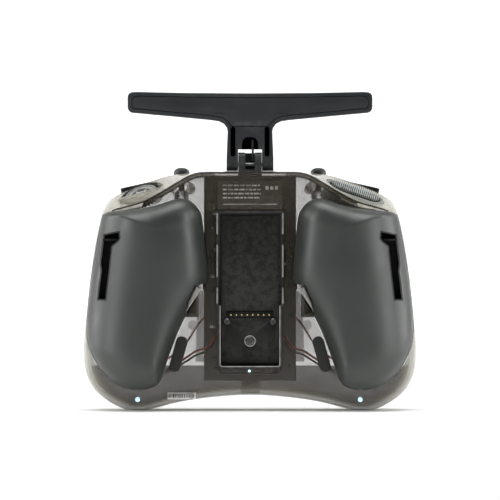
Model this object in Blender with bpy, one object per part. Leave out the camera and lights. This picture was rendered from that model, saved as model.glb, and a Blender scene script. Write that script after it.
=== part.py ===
"""Handheld radio transmitter controller: a two-stick, game-pad style remote with a smoked clear case.

The case is two shells that meet at a parting line. Two rubber-skinned covers close the battery wells
in the grips, a folding T antenna stands on the top edge, and the rear plate holds an open module bay.
Run it in Blender 4.5. Every size below is in millimetres, and to_world turns it into metres.

Axes: +Z up along the raised antenna, -Y the rear (grips and module bay), +Y the face (sticks, screen).
The origin is on the ground under the middle of the case.
"""

import math

import bmesh
import bpy
from mathutils import Matrix, Vector

MM = 0.001

# ---------------------------------------------------------------- driving dimensions (mm)
CASE_WIDTH = 156.6
CASE_DEPTH = 65.1
CREST_Y = -CASE_DEPTH / 2  # rear of the grips
TIP_Y = CASE_DEPTH / 2  # front of the stick ends
PLATE_Y = -17.0  # rear plate
FACE_Y = 11.5  # front face
WALL = 2.0
GAP = 0.3
FACE_INSET = 4.5  # how far the face's edge lies inside the silhouette
CENTRE_Z = 60.0

# Stations down the right-hand half of the case, from the top centre to the bottom centre.
# Each gives the silhouette (x, z), the edge of the rear plate (x, z), the depth y of the parting line,
# and how straight the wall between them is: 1 is a flat slope, 0 a quarter ellipse.
STATIONS = [
    ((0, 111.6), (0, 110.9), 4, 1),
    ((14, 111.6), (14, 110.9), 4, 1),
    ((24, 111.4), (22.5, 110.8), 4, 1),
    ((31, 110.8), (28, 109.4), 4, 1),
    ((37, 110.0), (33.5, 106.4), 4, 1),
    ((44, 108.1), (41, 101.9), 4, 1),
    ((52, 105.2), (49.5, 97.4), 4, 1),
    ((60, 101.8), (58, 94.9), 4, 1),
    ((66, 98.2), (64.2, 93.0), 3.5, 0.8),
    ((69.2, 93.6), (66.4, 90.2), 2, 0.3),
    ((70.6, 87.5), (67, 85.5), 0.5, 0),
    ((72.6, 78), (68.4, 77), 0, 0),
    ((74.6, 65), (69.8, 65), 0, 0),
    ((76.2, 50), (71, 50), 0, 0),
    ((77.6, 37), (71.8, 38), 0, 0),
    ((78.3, 27), (71.2, 29), 0, 0),
    ((77.2, 18), (69.2, 21.5), -1, 0),
    ((73.6, 10.3), (66.2, 15.5), -2, 0),
    ((68, 5.1), (62.2, 11.6), -3, 0),
    ((61, 1.2), (57.5, 9.2), -3, 0),
    ((53.5, -0.8), (51.5, 8.2), -3, 0),
    ((45, 0.7), (44, 8.6), -3, 0),
    ((34, 3.4), (33.5, 10.4), -2, 0),
    ((22, 5.3), (22, 11.6), -1, 0),
    ((10, 6.4), (10, 12.3), 0, 0),
    ((0, 6.8), (0, 12.5), 0, 0),
]

# The battery cover's edge on the left-hand grip, clockwise seen from the rear: x, z and the edge's depth y.
GRIP_EDGE = [
    (-68.9, 90.6, -7.5),
    (-66.5, 92.4, -12),
    (-57.5, 93.5, -15.5),
    (-49.3, 94.6, -15.5),
    (-42.2, 96.2, -15.5),
    (-36.1, 98.2, -15.5),
    (-31.5, 99, -15.5),
    (-27.4, 97.6, -15.5),
    (-24.2, 94.4, -15.5),
    (-22.4, 90.5, -15.5),
    (-21.2, 80, -15.5),
    (-20, 68, -15.5),
    (-20.2, 60.5, -15.5),
    (-23.2, 54.8, -15.5),
    (-28.4, 46.8, -15.5),
    (-33, 37.6, -15.5),
    (-36.4, 29, -15.5),
    (-39.2, 21, -15.5),
    (-41.6, 14.2, -15.5),
    (-45.2, 10.9, -15.2),
    (-52.4, 9.6, -14.8),
    (-60, 11.2, -14.2),
    (-66, 15, -13.6),
    (-71, 21, -13),
    (-74.6, 28, -11),
    (-76.2, 36, -8),
    (-76, 46, -6),
    (-74.7, 58, -6),
    (-72.9, 70, -6),
    (-71.2, 80, -6),
]
GRIP_SPINE = ((-40.2, 84), (-46.6, 25))  # crest line of the left-hand grip, top and bottom (x, z)
GRIP_SKIN = 1.8
BULGE_SIDE, BULGE_END = 2.15, 3.0  # superellipse powers across the crest and past its ends

# The storage slot in the left-hand cover, for spare stick ends: x, z.
SLOT_EDGE = [
    (-68.2, 82.4), (-60.2, 83.9), (-59.8, 80.2), (-60.6, 78.8), (-63.6, 76.4), (-64.6, 67),
    (-66.4, 51.4), (-71.1, 51.4), (-70.4, 58), (-69.4, 65.2), (-69.9, 68.8), (-69.2, 74.4),
]
SLOT_FLOOR_Y = -11.5
SLOT_WALL = 1.0

# Module bay, in the rear plate.
BAY_TOP, BAY_STEP, BAY_BOTTOM = 92.2, 49.3, 20.6
BAY_HALF_UPPER, BAY_HALF_LOWER = 14.8, 13.9
BAY_WALL, BAY_FLOOR_Y = 0.9, -7.0
HEADER_Z, PIN_PITCH, PIN_COUNT = 44.8, 2.54, 8
BAY_SCREWS = ((-10.8, 41.4, 1.7), (10.8, 41.4, 1.7), (0, 32.4, 2.0))  # x, z, head radius

# Hinge of the antenna.
HINGE_Y, HINGE_Z, KNUCKLE_R = -4.0, 114.9, 3.0
PIN_R, PIN_HOLE_R = 1.0, 1.3
FORK_HALF, FORK_TOP = 5.75, 122.0
BLOCK_HALF, BLOCK_TOP = 5.35, 120.6

# Gimbals.
STICK_X, STICK_Y, STICK_Z = 44.5, -1.0, 64.0
BALL_R, RING_IN, RING_OUT, RING_HALF = 14.0, 15.5, 17.3, 2.0
FRAME_HALF, FRAME_WALL = 20.5, 1.5

# Cells.
CELL_R, CELL_LENGTH, CELL_Y = 9.1, 65.0, -20.2

# Shoulder slope that carries the momentary button on the right and the dial on the left (right-hand side).
SLOPE_ALONG = Vector((0.945, 0, -0.326)).normalized()
SLOPE_ACROSS = Vector((0, 0.9, 0.436)).normalized()
SLOPE_NORMAL = SLOPE_ALONG.cross(SLOPE_ACROSS).normalized()
MOMENTARY_CENTRE = Vector((48.9, -6.9, 101.4))
DIAL_TILT = math.radians(62)  # between the dial's axis and the rearward direction
DIAL_AXIS = Vector((-0.342 * math.sin(DIAL_TILT), -math.cos(DIAL_TILT), 0.94 * math.sin(DIAL_TILT)))
WHEEL_CENTRE, WHEEL_R, WHEEL_HALF = Vector((-50.6, -5.6, 99.9)), 9.0, 1.6
PUSH_Y = 6.6
PUSH_AXIS = Vector((0.22, 0.0, 0.975)).normalized()
PUSH_CENTRE = Vector((52.2, PUSH_Y, 103.9))

# Toggle switches on the top edge.
TOGGLE_X, TOGGLE_PIVOT, TOGGLE_TIP = 32.3, Vector((0, 7.5, 99.4)), Vector((0, 13.6, 109.97))

# The finger notch in the left-hand cover, where the clear latch shows: x, z.
NOTCH_EDGE = [(-18, 59.4), (-25.6, 58.6), (-29.3, 50), (-29.6, 44.4), (-24, 40)]

COLOURS = {
    "smoke": ((0.30, 0.27, 0.24, 0.45), 0.12, 0.0),
    "grip_rubber": ((0.085, 0.095, 0.092, 1), 0.55, 0.0),
    "black_plastic": ((0.02, 0.021, 0.022, 1), 0.45, 0.0),
    "antenna_plastic": ((0.035, 0.04, 0.045, 1), 0.5, 0.0),
    "grey_plastic": ((0.18, 0.19, 0.18, 1), 0.45, 0.0),
    "board": ((0.03, 0.035, 0.03, 1), 0.5, 0.0),
    "steel": ((0.62, 0.6, 0.56, 1), 0.3, 1.0),
    "gold": ((0.8, 0.6, 0.25, 1), 0.3, 1.0),
    "cell_wrap": ((0.05, 0.22, 0.3, 1), 0.35, 0.0),
    "screen_glass": ((0.05, 0.06, 0.06, 0.5), 0.05, 0.0),
    "screen_panel": ((0.45, 0.52, 0.42, 1), 0.3, 0.0),
}



# ---------------------------------------------------------------- small tools
def to_world(point):
    return Vector(point) * MM


def material(name):
    found = bpy.data.materials.get(name)
    if found:
        return found
    colour, roughness, metallic = COLOURS[name]
    made = bpy.data.materials.new(name)
    made.use_nodes = True
    shader = made.node_tree.nodes["Principled BSDF"]
    shader.inputs["Base Color"].default_value = colour
    shader.inputs["Alpha"].default_value = colour[3]
    shader.inputs["Roughness"].default_value = roughness
    shader.inputs["Metallic"].default_value = metallic
    return made


def mesh_object(name, bm, finish=None, smooth=35):
    """A new object from a bmesh whose points are in millimetres."""
    bmesh.ops.scale(bm, vec=(MM, MM, MM), verts=bm.verts)
    bmesh.ops.remove_doubles(bm, verts=bm.verts, dist=2e-6)
    bmesh.ops.recalc_face_normals(bm, faces=bm.faces)
    mesh = bpy.data.meshes.new(name)
    bm.to_mesh(mesh)
    bm.free()
    mesh.shade_smooth()
    mesh.set_sharp_from_angle(angle=math.radians(smooth))
    obj = bpy.data.objects.new(name, mesh)
    bpy.context.scene.collection.objects.link(obj)
    if finish:
        mesh.materials.append(material(finish))
    return obj


def settled(obj):
    """Applies the object's modifiers to its mesh."""
    bpy.context.view_layer.update()
    graph = bpy.context.evaluated_depsgraph_get()
    mesh = bpy.data.meshes.new_from_object(obj.evaluated_get(graph))
    obj.modifiers.clear()
    obj.data = mesh
    return obj


def combine(obj, others, how):
    """Joins or cuts obj with helper solids, which are then removed."""
    for other in others:
        step = obj.modifiers.new("cut", "BOOLEAN")
        step.operation = how
        step.solver = "EXACT"
        step.object = other
        settled(obj)
        bpy.data.objects.remove(other)
    return obj


def cut(obj, *others):
    return combine(obj, others, "DIFFERENCE")


def join(obj, *others):
    return combine(obj, others, "UNION")


def common(obj, *others):
    return combine(obj, others, "INTERSECT")


def box(name, x, y, z, finish=None):
    """A box from its (low, high) along each axis."""
    bm = bmesh.new()
    corners = [bm.verts.new((a, b, c)) for a in x for b in y for c in z]
    for ring in ((0, 1, 3, 2), (4, 6, 7, 5), (0, 4, 5, 1), (2, 3, 7, 6), (0, 2, 6, 4), (1, 5, 7, 3)):
        bm.faces.new([corners[k] for k in ring])
    return mesh_object(name, bm, finish)


def prism(name, edge, y, finish=None):
    """A prism along Y whose (x, z) outline is edge."""
    bm = bmesh.new()
    rings = [[bm.verts.new((px, depth, pz)) for px, pz in edge] for depth in y]
    bm.faces.new(rings[0])
    bm.faces.new(rings[1][::-1])
    for k in range(len(edge)):
        n = (k + 1) % len(edge)
        bm.faces.new((rings[0][k], rings[1][k], rings[1][n], rings[0][n]))
    return mesh_object(name, bm, finish)


def frame_matrix(origin, axis, side=None):
    """A frame at origin whose +Z is axis, with its +X as near side as it can be."""
    up = Vector(axis).normalized()
    hint = Vector(side) if side is not None else Vector((1, 0, 0))
    if abs(up.dot(hint.normalized())) > 0.99:
        hint = Vector((0, 1, 0))
    across = (hint - up * hint.dot(up)).normalized()
    turn = Matrix((across, up.cross(across), up)).transposed().to_4x4()
    return Matrix.Translation(origin) @ turn


def turned(name, profile, origin, axis, finish=None, sides=16):
    """A solid of revolution from (radius, height) points, its height along axis from origin."""
    bm = bmesh.new()
    rings = []
    for radius, height in profile:
        if radius < 1e-6:
            rings.append([bm.verts.new((0, 0, height))])
            continue
        turns = [2 * math.pi * k / sides for k in range(sides)]
        rings.append([bm.verts.new((radius * math.cos(a), radius * math.sin(a), height)) for a in turns])
    for low, high in zip(rings, rings[1:]):
        for k in range(sides):
            n = (k + 1) % sides
            quad = [low[k % len(low)], low[n % len(low)], high[n % len(high)], high[k % len(high)]]
            quad = [v for i, v in enumerate(quad) if v not in quad[:i]]
            if len(quad) > 2:
                bm.faces.new(quad)
    for ring, end in ((rings[0], True), (rings[-1], False)):
        if len(ring) > 2:
            bm.faces.new(ring[::-1] if end else ring)
    bmesh.ops.transform(bm, matrix=frame_matrix(origin, axis), verts=bm.verts)
    return mesh_object(name, bm, finish)


def cylinder(name, radius, start, end, finish=None, sides=16):
    start, end = Vector(start), Vector(end)
    return turned(name, [(radius, 0), (radius, (end - start).length)], start, end - start, finish, sides)


def slab(name, outline, low, high, place, finish=None):
    """A plate with an (x, y) outline from height low to high, in the frame that place gives."""
    bm = bmesh.new()
    rings = [[bm.verts.new((px, py, height)) for px, py in outline] for height in (low, high)]
    bm.faces.new(rings[0][::-1])
    bm.faces.new(rings[1])
    for k in range(len(outline)):
        n = (k + 1) % len(outline)
        bm.faces.new((rings[0][k], rings[0][n], rings[1][n], rings[1][k]))
    bmesh.ops.transform(bm, matrix=place, verts=bm.verts)
    return mesh_object(name, bm, finish)


def rounded(half_x, half_y, radius, steps=3, centre=(0, 0)):
    """A rounded rectangle as a list of points."""
    points = []
    for quarter in range(4):
        sx, sy = ((1, 1), (-1, 1), (-1, -1), (1, -1))[quarter]
        middle = (centre[0] + sx * (half_x - radius), centre[1] + sy * (half_y - radius))
        for k in range(steps + 1):
            angle = math.pi / 2 * (quarter + k / steps)
            points.append((middle[0] + radius * math.cos(angle), middle[1] + radius * math.sin(angle)))
    return points


def smooth_loop(points, steps):
    """A closed Catmull-Rom curve through the points, with steps samples to each span."""
    count = len(points)
    made = []
    for i in range(count):
        a, b, c, d = (Vector(points[(i + k) % count]) for k in (-1, 0, 1, 2))
        for s in range(steps):
            t = s / steps
            made.append(0.5 * (2 * b + (c - a) * t + (2 * a - 5 * b + 4 * c - d) * t * t
                               + (3 * b - a - 3 * c + d) * t ** 3))
    return made


def inward(loop, distance):
    """The closed (x, z) loop moved inward by distance. It turns clockwise seen from the rear."""
    count = len(loop)
    made = []
    for i in range(count):
        along = loop[(i + 1) % count] - loop[i - 1]
        side = Vector((along[1], -along[0])).normalized()
        if side.dot(Vector((0, CENTRE_Z)) - loop[i]) < 0 and abs(loop[i][0]) > 1:
            side = -side
        elif abs(loop[i][0]) <= 1:
            side = Vector((0, 1 if loop[i][1] < CENTRE_Z else -1))
        made.append(loop[i] + side * distance)
    return made


# ---------------------------------------------------------------- case
def case_loops(inset):
    """Silhouette and plate edge moved inward by inset, the parting depth and the straightness, all round."""
    half = STATIONS
    back = [((-s[0], s[1]), (-r[0], r[1]), y, w) for s, r, y, w in STATIONS[-2:0:-1]]
    rows = smooth_loop([(*s, *r, y, w) for s, r, y, w in half + back], 1)
    silhouette = inward([Vector((p[0], p[1])) for p in rows], inset)
    plate = inward([Vector((p[2], p[3])) for p in rows], inset)
    return silhouette, plate, [p[4] for p in rows], [min(1, max(0, p[5])) for p in rows]


def rear_rings(inset, steps=5):
    """Rings from the rear plate's edge to the parting line."""
    silhouette, plate, parting, straight = case_loops(inset)
    plate_y = PLATE_Y + inset
    rings = []
    for k in range(steps + 1):
        angle = math.pi / 2 * k / steps
        ring = []
        for s, r, y, w in zip(silhouette, plate, parting, straight):
            out = math.sin(angle) * (1 - w) + k / steps * w
            deep = (1 - math.cos(angle)) * (1 - w) + k / steps * w
            at = r.lerp(s, out)
            ring.append(Vector((at[0], plate_y + (y - plate_y) * deep, at[1])))
        rings.append(ring)
    return rings


def front_rings(inset, steps=3):
    """Rings from the parting line to the face's edge."""
    silhouette, _, parting, _ = case_loops(inset)
    face = inward(silhouette, FACE_INSET)
    face_y = FACE_Y - inset
    rings = []
    for k in range(steps + 1):
        angle = math.pi / 2 * k / steps
        ring = []
        for s, f, y in zip(silhouette, face, parting):
            at = f.lerp(s, math.cos(angle))
            ring.append(Vector((at[0], y + (face_y - y) * math.sin(angle), at[1])))
        rings.append(ring)
    return rings


def ringed_solid(name, rings, cap_first, cap_last, finish=None):
    """A solid from rings. A cap is None for a flat face, or the middle point of a fan."""
    bm = bmesh.new()
    made = [[bm.verts.new(p) for p in ring] for ring in rings]
    count = len(made[0])
    for low, high in zip(made, made[1:]):
        for k in range(count):
            n = (k + 1) % count
            bm.faces.new((low[k], low[n], high[n], high[k]))
    for ring, cap in ((made[0], cap_first), (made[-1], cap_last)):
        if cap is None:
            bm.faces.new(ring)
            continue
        middle = bm.verts.new(cap)
        for k in range(count):
            bm.faces.new((ring[k], ring[(k + 1) % count], middle))
    return mesh_object(name, bm, finish)


def shifted(rings, depth):
    return rings[:-1] + [[p + Vector((0, depth, 0)) for p in rings[-1]]]


def case_inside(name):
    return ringed_solid(name, rear_rings(WALL) + front_rings(WALL)[1:], None, None)


def half_case(name, rings, flat_first, finish):
    """One half of the case, as a wall of even thickness that ends on the parting line."""
    middle = Vector((0, 1, CENTRE_Z))
    solid = ringed_solid(name, rings, None if flat_first else middle, middle if flat_first else None, finish)
    return cut(solid, case_inside("inside"))


# ---------------------------------------------------------------- grips
def grip_rays(side, steps, spine_steps, grow=0.0):
    """Pairs of (foot on the crest line, tip on the cover's edge), in order round the cover."""
    edge = smooth_loop([Vector(p) for p in GRIP_EDGE], steps)
    top, bottom = (Vector((x, z)) for x, z in GRIP_SPINE)
    span = bottom - top
    rays = []
    for tip in edge:
        flat = Vector((tip[0], tip[1]))
        share = min(1, max(0, (flat - top).dot(span) / span.length_squared))
        share = round(share * spine_steps) / spine_steps
        foot = top + span * share
        outward = (flat - foot).normalized()
        flat = flat + outward * grow
        rays.append((Vector((side * -foot[0], foot[1])), Vector((side * -flat[0], flat[1])),
                     tip[2], share, outward))
    return rays


def bulge(share, depth_edge, power, lift=0.0):
    """Depth of the grip's surface at a share of the way from its crest line to its edge."""
    crest = CREST_Y - lift
    return crest + (depth_edge - crest) * (1 - (1 - share ** power) ** (1 / power))


def grip_patch(bm, side, grow=0.0, lift=0.0, steps=1, across=6, spine_steps=6):
    """The grip's outer surface. It returns the vertices of its edge."""
    rays = grip_rays(side, steps, spine_steps, grow)
    axis = (Vector(GRIP_SPINE[1]) - Vector(GRIP_SPINE[0])).normalized()
    columns = []
    for foot, tip, depth, _, outward in rays:
        end = abs(outward.dot(axis)) ** 2
        power = BULGE_SIDE * (1 - end) + BULGE_END * end
        column = []
        for k in range(across + 1):
            share = math.sin(math.pi / 2 * k / across)
            at = foot.lerp(tip, share)
            column.append(bm.verts.new((at[0], bulge(share, depth, power, lift), at[1])))
        columns.append(column)
    for i, column in enumerate(columns):
        following = columns[(i + 1) % len(columns)]
        for k in range(across):
            corners = [column[k], column[k + 1], following[k + 1], following[k]]
            spots = []
            kept = []
            for v in corners:
                if all((v.co - s).length > 1e-4 for s in spots):
                    spots.append(v.co.copy())
                    kept.append(v)
            if len(kept) > 2:
                bm.faces.new(kept)
    bmesh.ops.remove_doubles(bm, verts=bm.verts, dist=1e-3)
    return [v for v in bm.verts if v.is_boundary]


def grip_solid(name, side, grow=0.0, lift=0.0):
    """The whole bulge as a closed solid, with a fan across its open side."""
    bm = bmesh.new()
    grip_patch(bm, side, grow, lift)
    middle = bm.verts.new((side * 46, -12.0, 55))
    for edge in [e for e in bm.edges if e.is_boundary]:
        bm.faces.new((edge.verts[0], edge.verts[1], middle))
    return mesh_object(name, bm)


def grip_well(side):
    """A straight-sided well for a cover, from under its rim out through the rear."""
    rays = grip_rays(side, 1, 6, GAP)
    bm = bmesh.new()
    rows = [[bm.verts.new((ray[1][0], CREST_Y - 8, ray[1][1])) for ray in rays],
            [bm.verts.new((ray[1][0], ray[2] + 2.4, ray[1][1])) for ray in rays]]
    ends = [bm.verts.new((side * 46, CREST_Y - 8, 55)), bm.verts.new((side * 46, -12.0, 55))]
    for k in range(len(rays)):
        n = (k + 1) % len(rays)
        bm.faces.new((rows[0][k], rows[0][n], rows[1][n], rows[1][k]))
        for row, end in zip(rows, ends):
            bm.faces.new((row[k], row[n], end))
    return mesh_object(f"grip_well_{side}", bm)


def outward_sheet(bm):
    """Turns a grip's sheet so that its faces point to the rear."""
    bmesh.ops.recalc_face_normals(bm, faces=bm.faces)
    if sum(f.normal.y * f.calc_area() for f in bm.faces) > 0:
        bmesh.ops.reverse_faces(bm, faces=bm.faces)


def sheet_object(name, bm, thickness, finish):
    outward_sheet(bm)
    bmesh.ops.scale(bm, vec=(MM, MM, MM), verts=bm.verts)
    mesh = bpy.data.meshes.new(name)
    bm.to_mesh(mesh)
    bm.free()
    mesh.shade_smooth()
    obj = bpy.data.objects.new(name, mesh)
    bpy.context.scene.collection.objects.link(obj)
    mesh.materials.append(material(finish))
    step = obj.modifiers.new("skin", "SOLIDIFY")
    step.thickness = thickness * MM
    step.offset = -1
    step.use_even_offset = True
    return settled(obj)


def grown(edge, distance):
    """An (x, z) outline moved outward by distance."""
    count = len(edge)
    middle = sum((Vector(p) for p in edge), Vector((0, 0))) / count
    made = []
    for i in range(count):
        here = Vector(edge[i])
        before = (here - Vector(edge[i - 1])).normalized()
        after = (Vector(edge[(i + 1) % count]) - here).normalized()
        side = Vector((before[1] + after[1], -before[0] - after[0]))
        side = side.normalized() / max(0.5, math.sqrt(max(0.0, (1 + before.dot(after)) / 2)))
        made.append((here, side))
    turn = sum(Vector(edge[i]).cross(Vector(edge[(i + 1) % count])) for i in range(count))
    sign = 1 if turn > 0 else -1
    return [tuple(here + side * distance * sign) for here, side in made]


def cover(side, label):
    """A battery cover: a bulged skin with a storage slot let into it."""
    bm = bmesh.new()
    grip_patch(bm, side)
    skin = sheet_object(f"grip_cover_{label}", bm, GRIP_SKIN, "grip_rubber")
    slot = [(-side * x, z) for x, z in SLOT_EDGE]
    well = prism("well", grown(slot, SLOT_WALL), (CREST_Y, SLOT_FLOOR_Y + SLOT_WALL))
    common(well, grip_solid("bulge", side, grow=-0.15, lift=-0.15))
    join(skin, well)
    notch = [(-side * x, z) for x, z in NOTCH_EDGE]
    return cut(skin, prism("slot", slot, (CREST_Y - 5, SLOT_FLOOR_Y)), prism("notch", notch, (CREST_Y - 5, -8)))


def latch(side, label):
    """The clear catch that shows in the cover's finger notch."""
    edge = [(-22.6, 56.6), (-25.1, 57.9), (-28.7, 49.9), (-28.9, 47.4)]
    bm_edge = [(-side * x, z) for x, z in edge]
    return prism(f"cover_latch_{label}", bm_edge, (-21.5, PLATE_Y - GAP), "smoke")


# ---------------------------------------------------------------- rear shell, bay and grips
def bay_box(name, grow, y, bottom=BAY_BOTTOM):
    upper = box(name, (-BAY_HALF_UPPER - grow, BAY_HALF_UPPER + grow), y, (BAY_STEP - grow, BAY_TOP + grow))
    lower = box("lower", (-BAY_HALF_LOWER - grow, BAY_HALF_LOWER + grow), y, (bottom - grow, BAY_STEP + 5))
    return join(upper, lower)


def pill(name, centre, half_long, half_wide, low, high, along, axis, finish=None, steps=4):
    outline = rounded(half_long, half_wide, half_wide - 0.01, steps)
    return slab(name, outline, low, high, frame_matrix(centre, axis, along), finish)


PAD_AXIS = (Vector((33.3, 0, 26.5)), Vector((0.28, 0, -1)).normalized())


def mirror_x(vector, side):
    return Vector((vector.x * side, vector.y, vector.z))


def push_hole(side):
    axis = mirror_x(PUSH_AXIS, side)
    return pill("push", mirror_x(PUSH_CENTRE, side), 9.1, 2.9, -12, 12, axis.cross(Vector((0, 1, 0))), axis)


def dial_opening():
    """What the dial needs: room all round it, and a mouth over its upper half."""
    place = frame_matrix(WHEEL_CENTRE, DIAL_AXIS, (1, 0, 0))
    reach = WHEEL_R + 0.5
    room = turned("dial_room", [(reach, -WHEEL_HALF - 0.4), (reach, WHEEL_HALF + GAP)], WHEEL_CENTRE, DIAL_AXIS,
                  None, 32)
    turns = [math.pi * k / 16 for k in range(17)]
    outline = [(reach * math.cos(a), reach * math.sin(a) - 0.8) for a in turns]
    return join(room, slab("mouth", outline, -1.0, 12.0, place))


def dial_hood():
    """A raised half disc of the shell that covers the dial's lower half."""
    place = frame_matrix(WHEEL_CENTRE, DIAL_AXIS, (1, 0, 0))
    reach = WHEEL_R + 1.6
    turns = [math.pi * k / 16 for k in range(17)]
    outline = [(reach * math.cos(a), -reach * math.sin(a) - 0.8) for a in turns]
    return slab("hood", outline, -WHEEL_HALF, WHEEL_HALF + 1.4, place)


def rear_shell():
    shell = half_case("rear_shell", shifted(rear_rings(0), -GAP), True, "smoke")
    join(shell, dial_hood())
    for side in (-1, 1):
        cut(shell, grip_well(side))
        centre, along = PAD_AXIS
        place = mirror_x(centre, side) + Vector((0, PLATE_Y, 0))
        pad = pill("pad", place, 8.8, 3.0, -0.1 - 1.0, 3, mirror_x(along, side), (0, -1, 0))
        cut(shell, pad)
    tray = bay_box("bay", BAY_WALL + GAP, (-30, -12))
    hinge = box("hinge", (-BLOCK_HALF - GAP, BLOCK_HALF + GAP), (HINGE_Y - 4, HINGE_Y + 4), (105, 118))
    button = pill("button", MOMENTARY_CENTRE, 14.6, 6.6, -12, 12, SLOPE_ALONG, SLOPE_NORMAL)
    feet = box("feet", (-80, 80), (-40, 40), (-10, 0))
    cut(shell, tray, hinge, button, dial_opening(), feet, push_hole(-1), push_hole(1))
    return shell


def bay_tray():
    tray = bay_box("module_bay_tray", BAY_WALL, (PLATE_Y - 0.4, BAY_FLOOR_Y + BAY_WALL), BAY_BOTTOM)
    tray.data.materials.append(material("black_plastic"))
    cut(tray, bay_box("hollow", 0, (-30, BAY_FLOOR_Y)))
    for z in (79.8, 59.8):
        for side in (-1, 1):
            notch = box("notch", sorted((side * 14, side * 17)), (-30, -13), (z - 2.4, z + 2.4))
            cut(tray, notch)
    return tray


def bay_plate():
    floor = BAY_FLOOR_Y - GAP
    plate = box("module_bay_plate", (-13.4, 13.4), (floor - 1.0, floor), (22, 91), "grey_plastic")
    for x, z, r in BAY_SCREWS:
        cut(plate, cylinder("hole", r * 0.5 + GAP, (x, -12, z), (x, 0, z)))
    header = box("header", (-10.9, 10.9), (floor - 3, floor + 2), (HEADER_Z - 1.6, HEADER_Z + 1.6))
    return cut(plate, header)


def pin_header():
    """Eight gold pins in one black bar, made as one body."""
    body = box("pin_header", (-10.6, 10.6), (BAY_FLOOR_Y - 2.6, BAY_FLOOR_Y - GAP),
               (HEADER_Z - 1.3, HEADER_Z + 1.3), "gold")
    for k in range(PIN_COUNT):
        x = (k - (PIN_COUNT - 1) / 2) * PIN_PITCH
        join(body, box("pin", (x - 0.32, x + 0.32), (BAY_FLOOR_Y - 7.6, BAY_FLOOR_Y - 1),
                       (HEADER_Z - 0.32, HEADER_Z + 0.32)))
    return body


def screw(name, centre, axis, radius, head=1.2, length=3.0):
    body = turned(name, [(radius * 0.5, -length), (radius * 0.5, 0), (radius, 0), (radius, head * 0.7),
                         (radius * 0.8, head)], centre, axis, "steel", 16)
    socket = turned("socket", [(radius * 0.4, head * 0.35), (radius * 0.4, head + 1)], centre, axis, None, 6)
    return cut(body, socket)


def cell(side, label):
    low, high = cell_ends(side)
    axis = (high - low).normalized()
    return turned(f"cell_{label}", [(CELL_R - 0.6, 0), (CELL_R, 0.6), (CELL_R, CELL_LENGTH - 1.6),
                                    (CELL_R - 0.8, CELL_LENGTH - 0.8), (3, CELL_LENGTH - 0.8), (3, CELL_LENGTH)],
                  low, axis, "cell_wrap", 24)


def cell_ends(side):
    low = Vector((side * 53.0, CELL_Y, 20.5))
    axis = Vector((side * -0.15, 0, 1)).normalized()
    return low, low + axis * CELL_LENGTH


def cradle(side, label):
    """The cell's trough, with an end wall for each contact."""
    low, high = cell_ends(side)
    axis = (high - low).normalized()
    place = frame_matrix(low, axis, (1, 0, 0))
    # In this frame +X is across the cell and +Y points to the face or the rear.
    towards = 1 if (place.to_3x3() @ Vector((0, 1, 0))).y > 0 else -1
    outline = [(-9.9, 1), (9.9, 1), (9.9, 10.6), (-9.9, 10.6)]
    outline = [(x, y * towards) for x, y in outline]
    if towards < 0:
        outline = outline[::-1]
    body = slab(f"cell_cradle_{label}", outline, -3.0, CELL_LENGTH + 2.6, place, "black_plastic")
    hollow = turned("hollow", [(CELL_R + GAP, -1.8), (CELL_R + GAP, CELL_LENGTH + 1.4)], low, axis, None, 24)
    return cut(body, hollow)


def contact(side, label):
    low, high = cell_ends(side)
    axis = (high - low).normalized()
    profile = [(5.4, 0), (5.0, 0.5), (3.0, 1.2)]
    return turned(f"cell_contact_{label}", profile, low - axis * 1.5, axis, "steel", 16)


def pad(side, label):
    centre, along = PAD_AXIS
    place = mirror_x(centre, side) + Vector((0, PLATE_Y, 0))
    body = pill(f"side_pad_{label}", place, 8.5, 2.7, -0.8, 0.7, mirror_x(along, side), (0, -1, 0),
                "black_plastic")
    cut(body, grip_solid("clear", side, grow=2 * GAP, lift=2 * GAP))
    return body


# ---------------------------------------------------------------- front shell and its controls
SCREEN_Z, SCREEN_HALF_X, SCREEN_HALF_Z = 87.0, 18.0, 11.0
BUTTONS = {
    "power_button": (0, 37.0, 4.2),
    "menu_button": (-10.5, 66, 3.2),
    "model_button": (-10.5, 56.5, 3.2),
    "page_button": (-10.5, 47, 3.2),
    "telemetry_button": (10.5, 47, 3.2),
    "return_button": (10.5, 56.5, 3.2),
}
ROLLER = Vector((10.5, 8.4, 67.0))
TRIMS = {
    "trim_left_level": (-44.5, 36.8, True),
    "trim_right_level": (44.5, 36.8, True),
    "trim_left_upright": (-20.2, 64, False),
    "trim_right_upright": (20.2, 64, False),
}


def face_hole(name, x, z, radius, y=(4, 20)):
    return cylinder(name, radius, (x, y[0], z), (x, y[1], z), None, 20)


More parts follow.
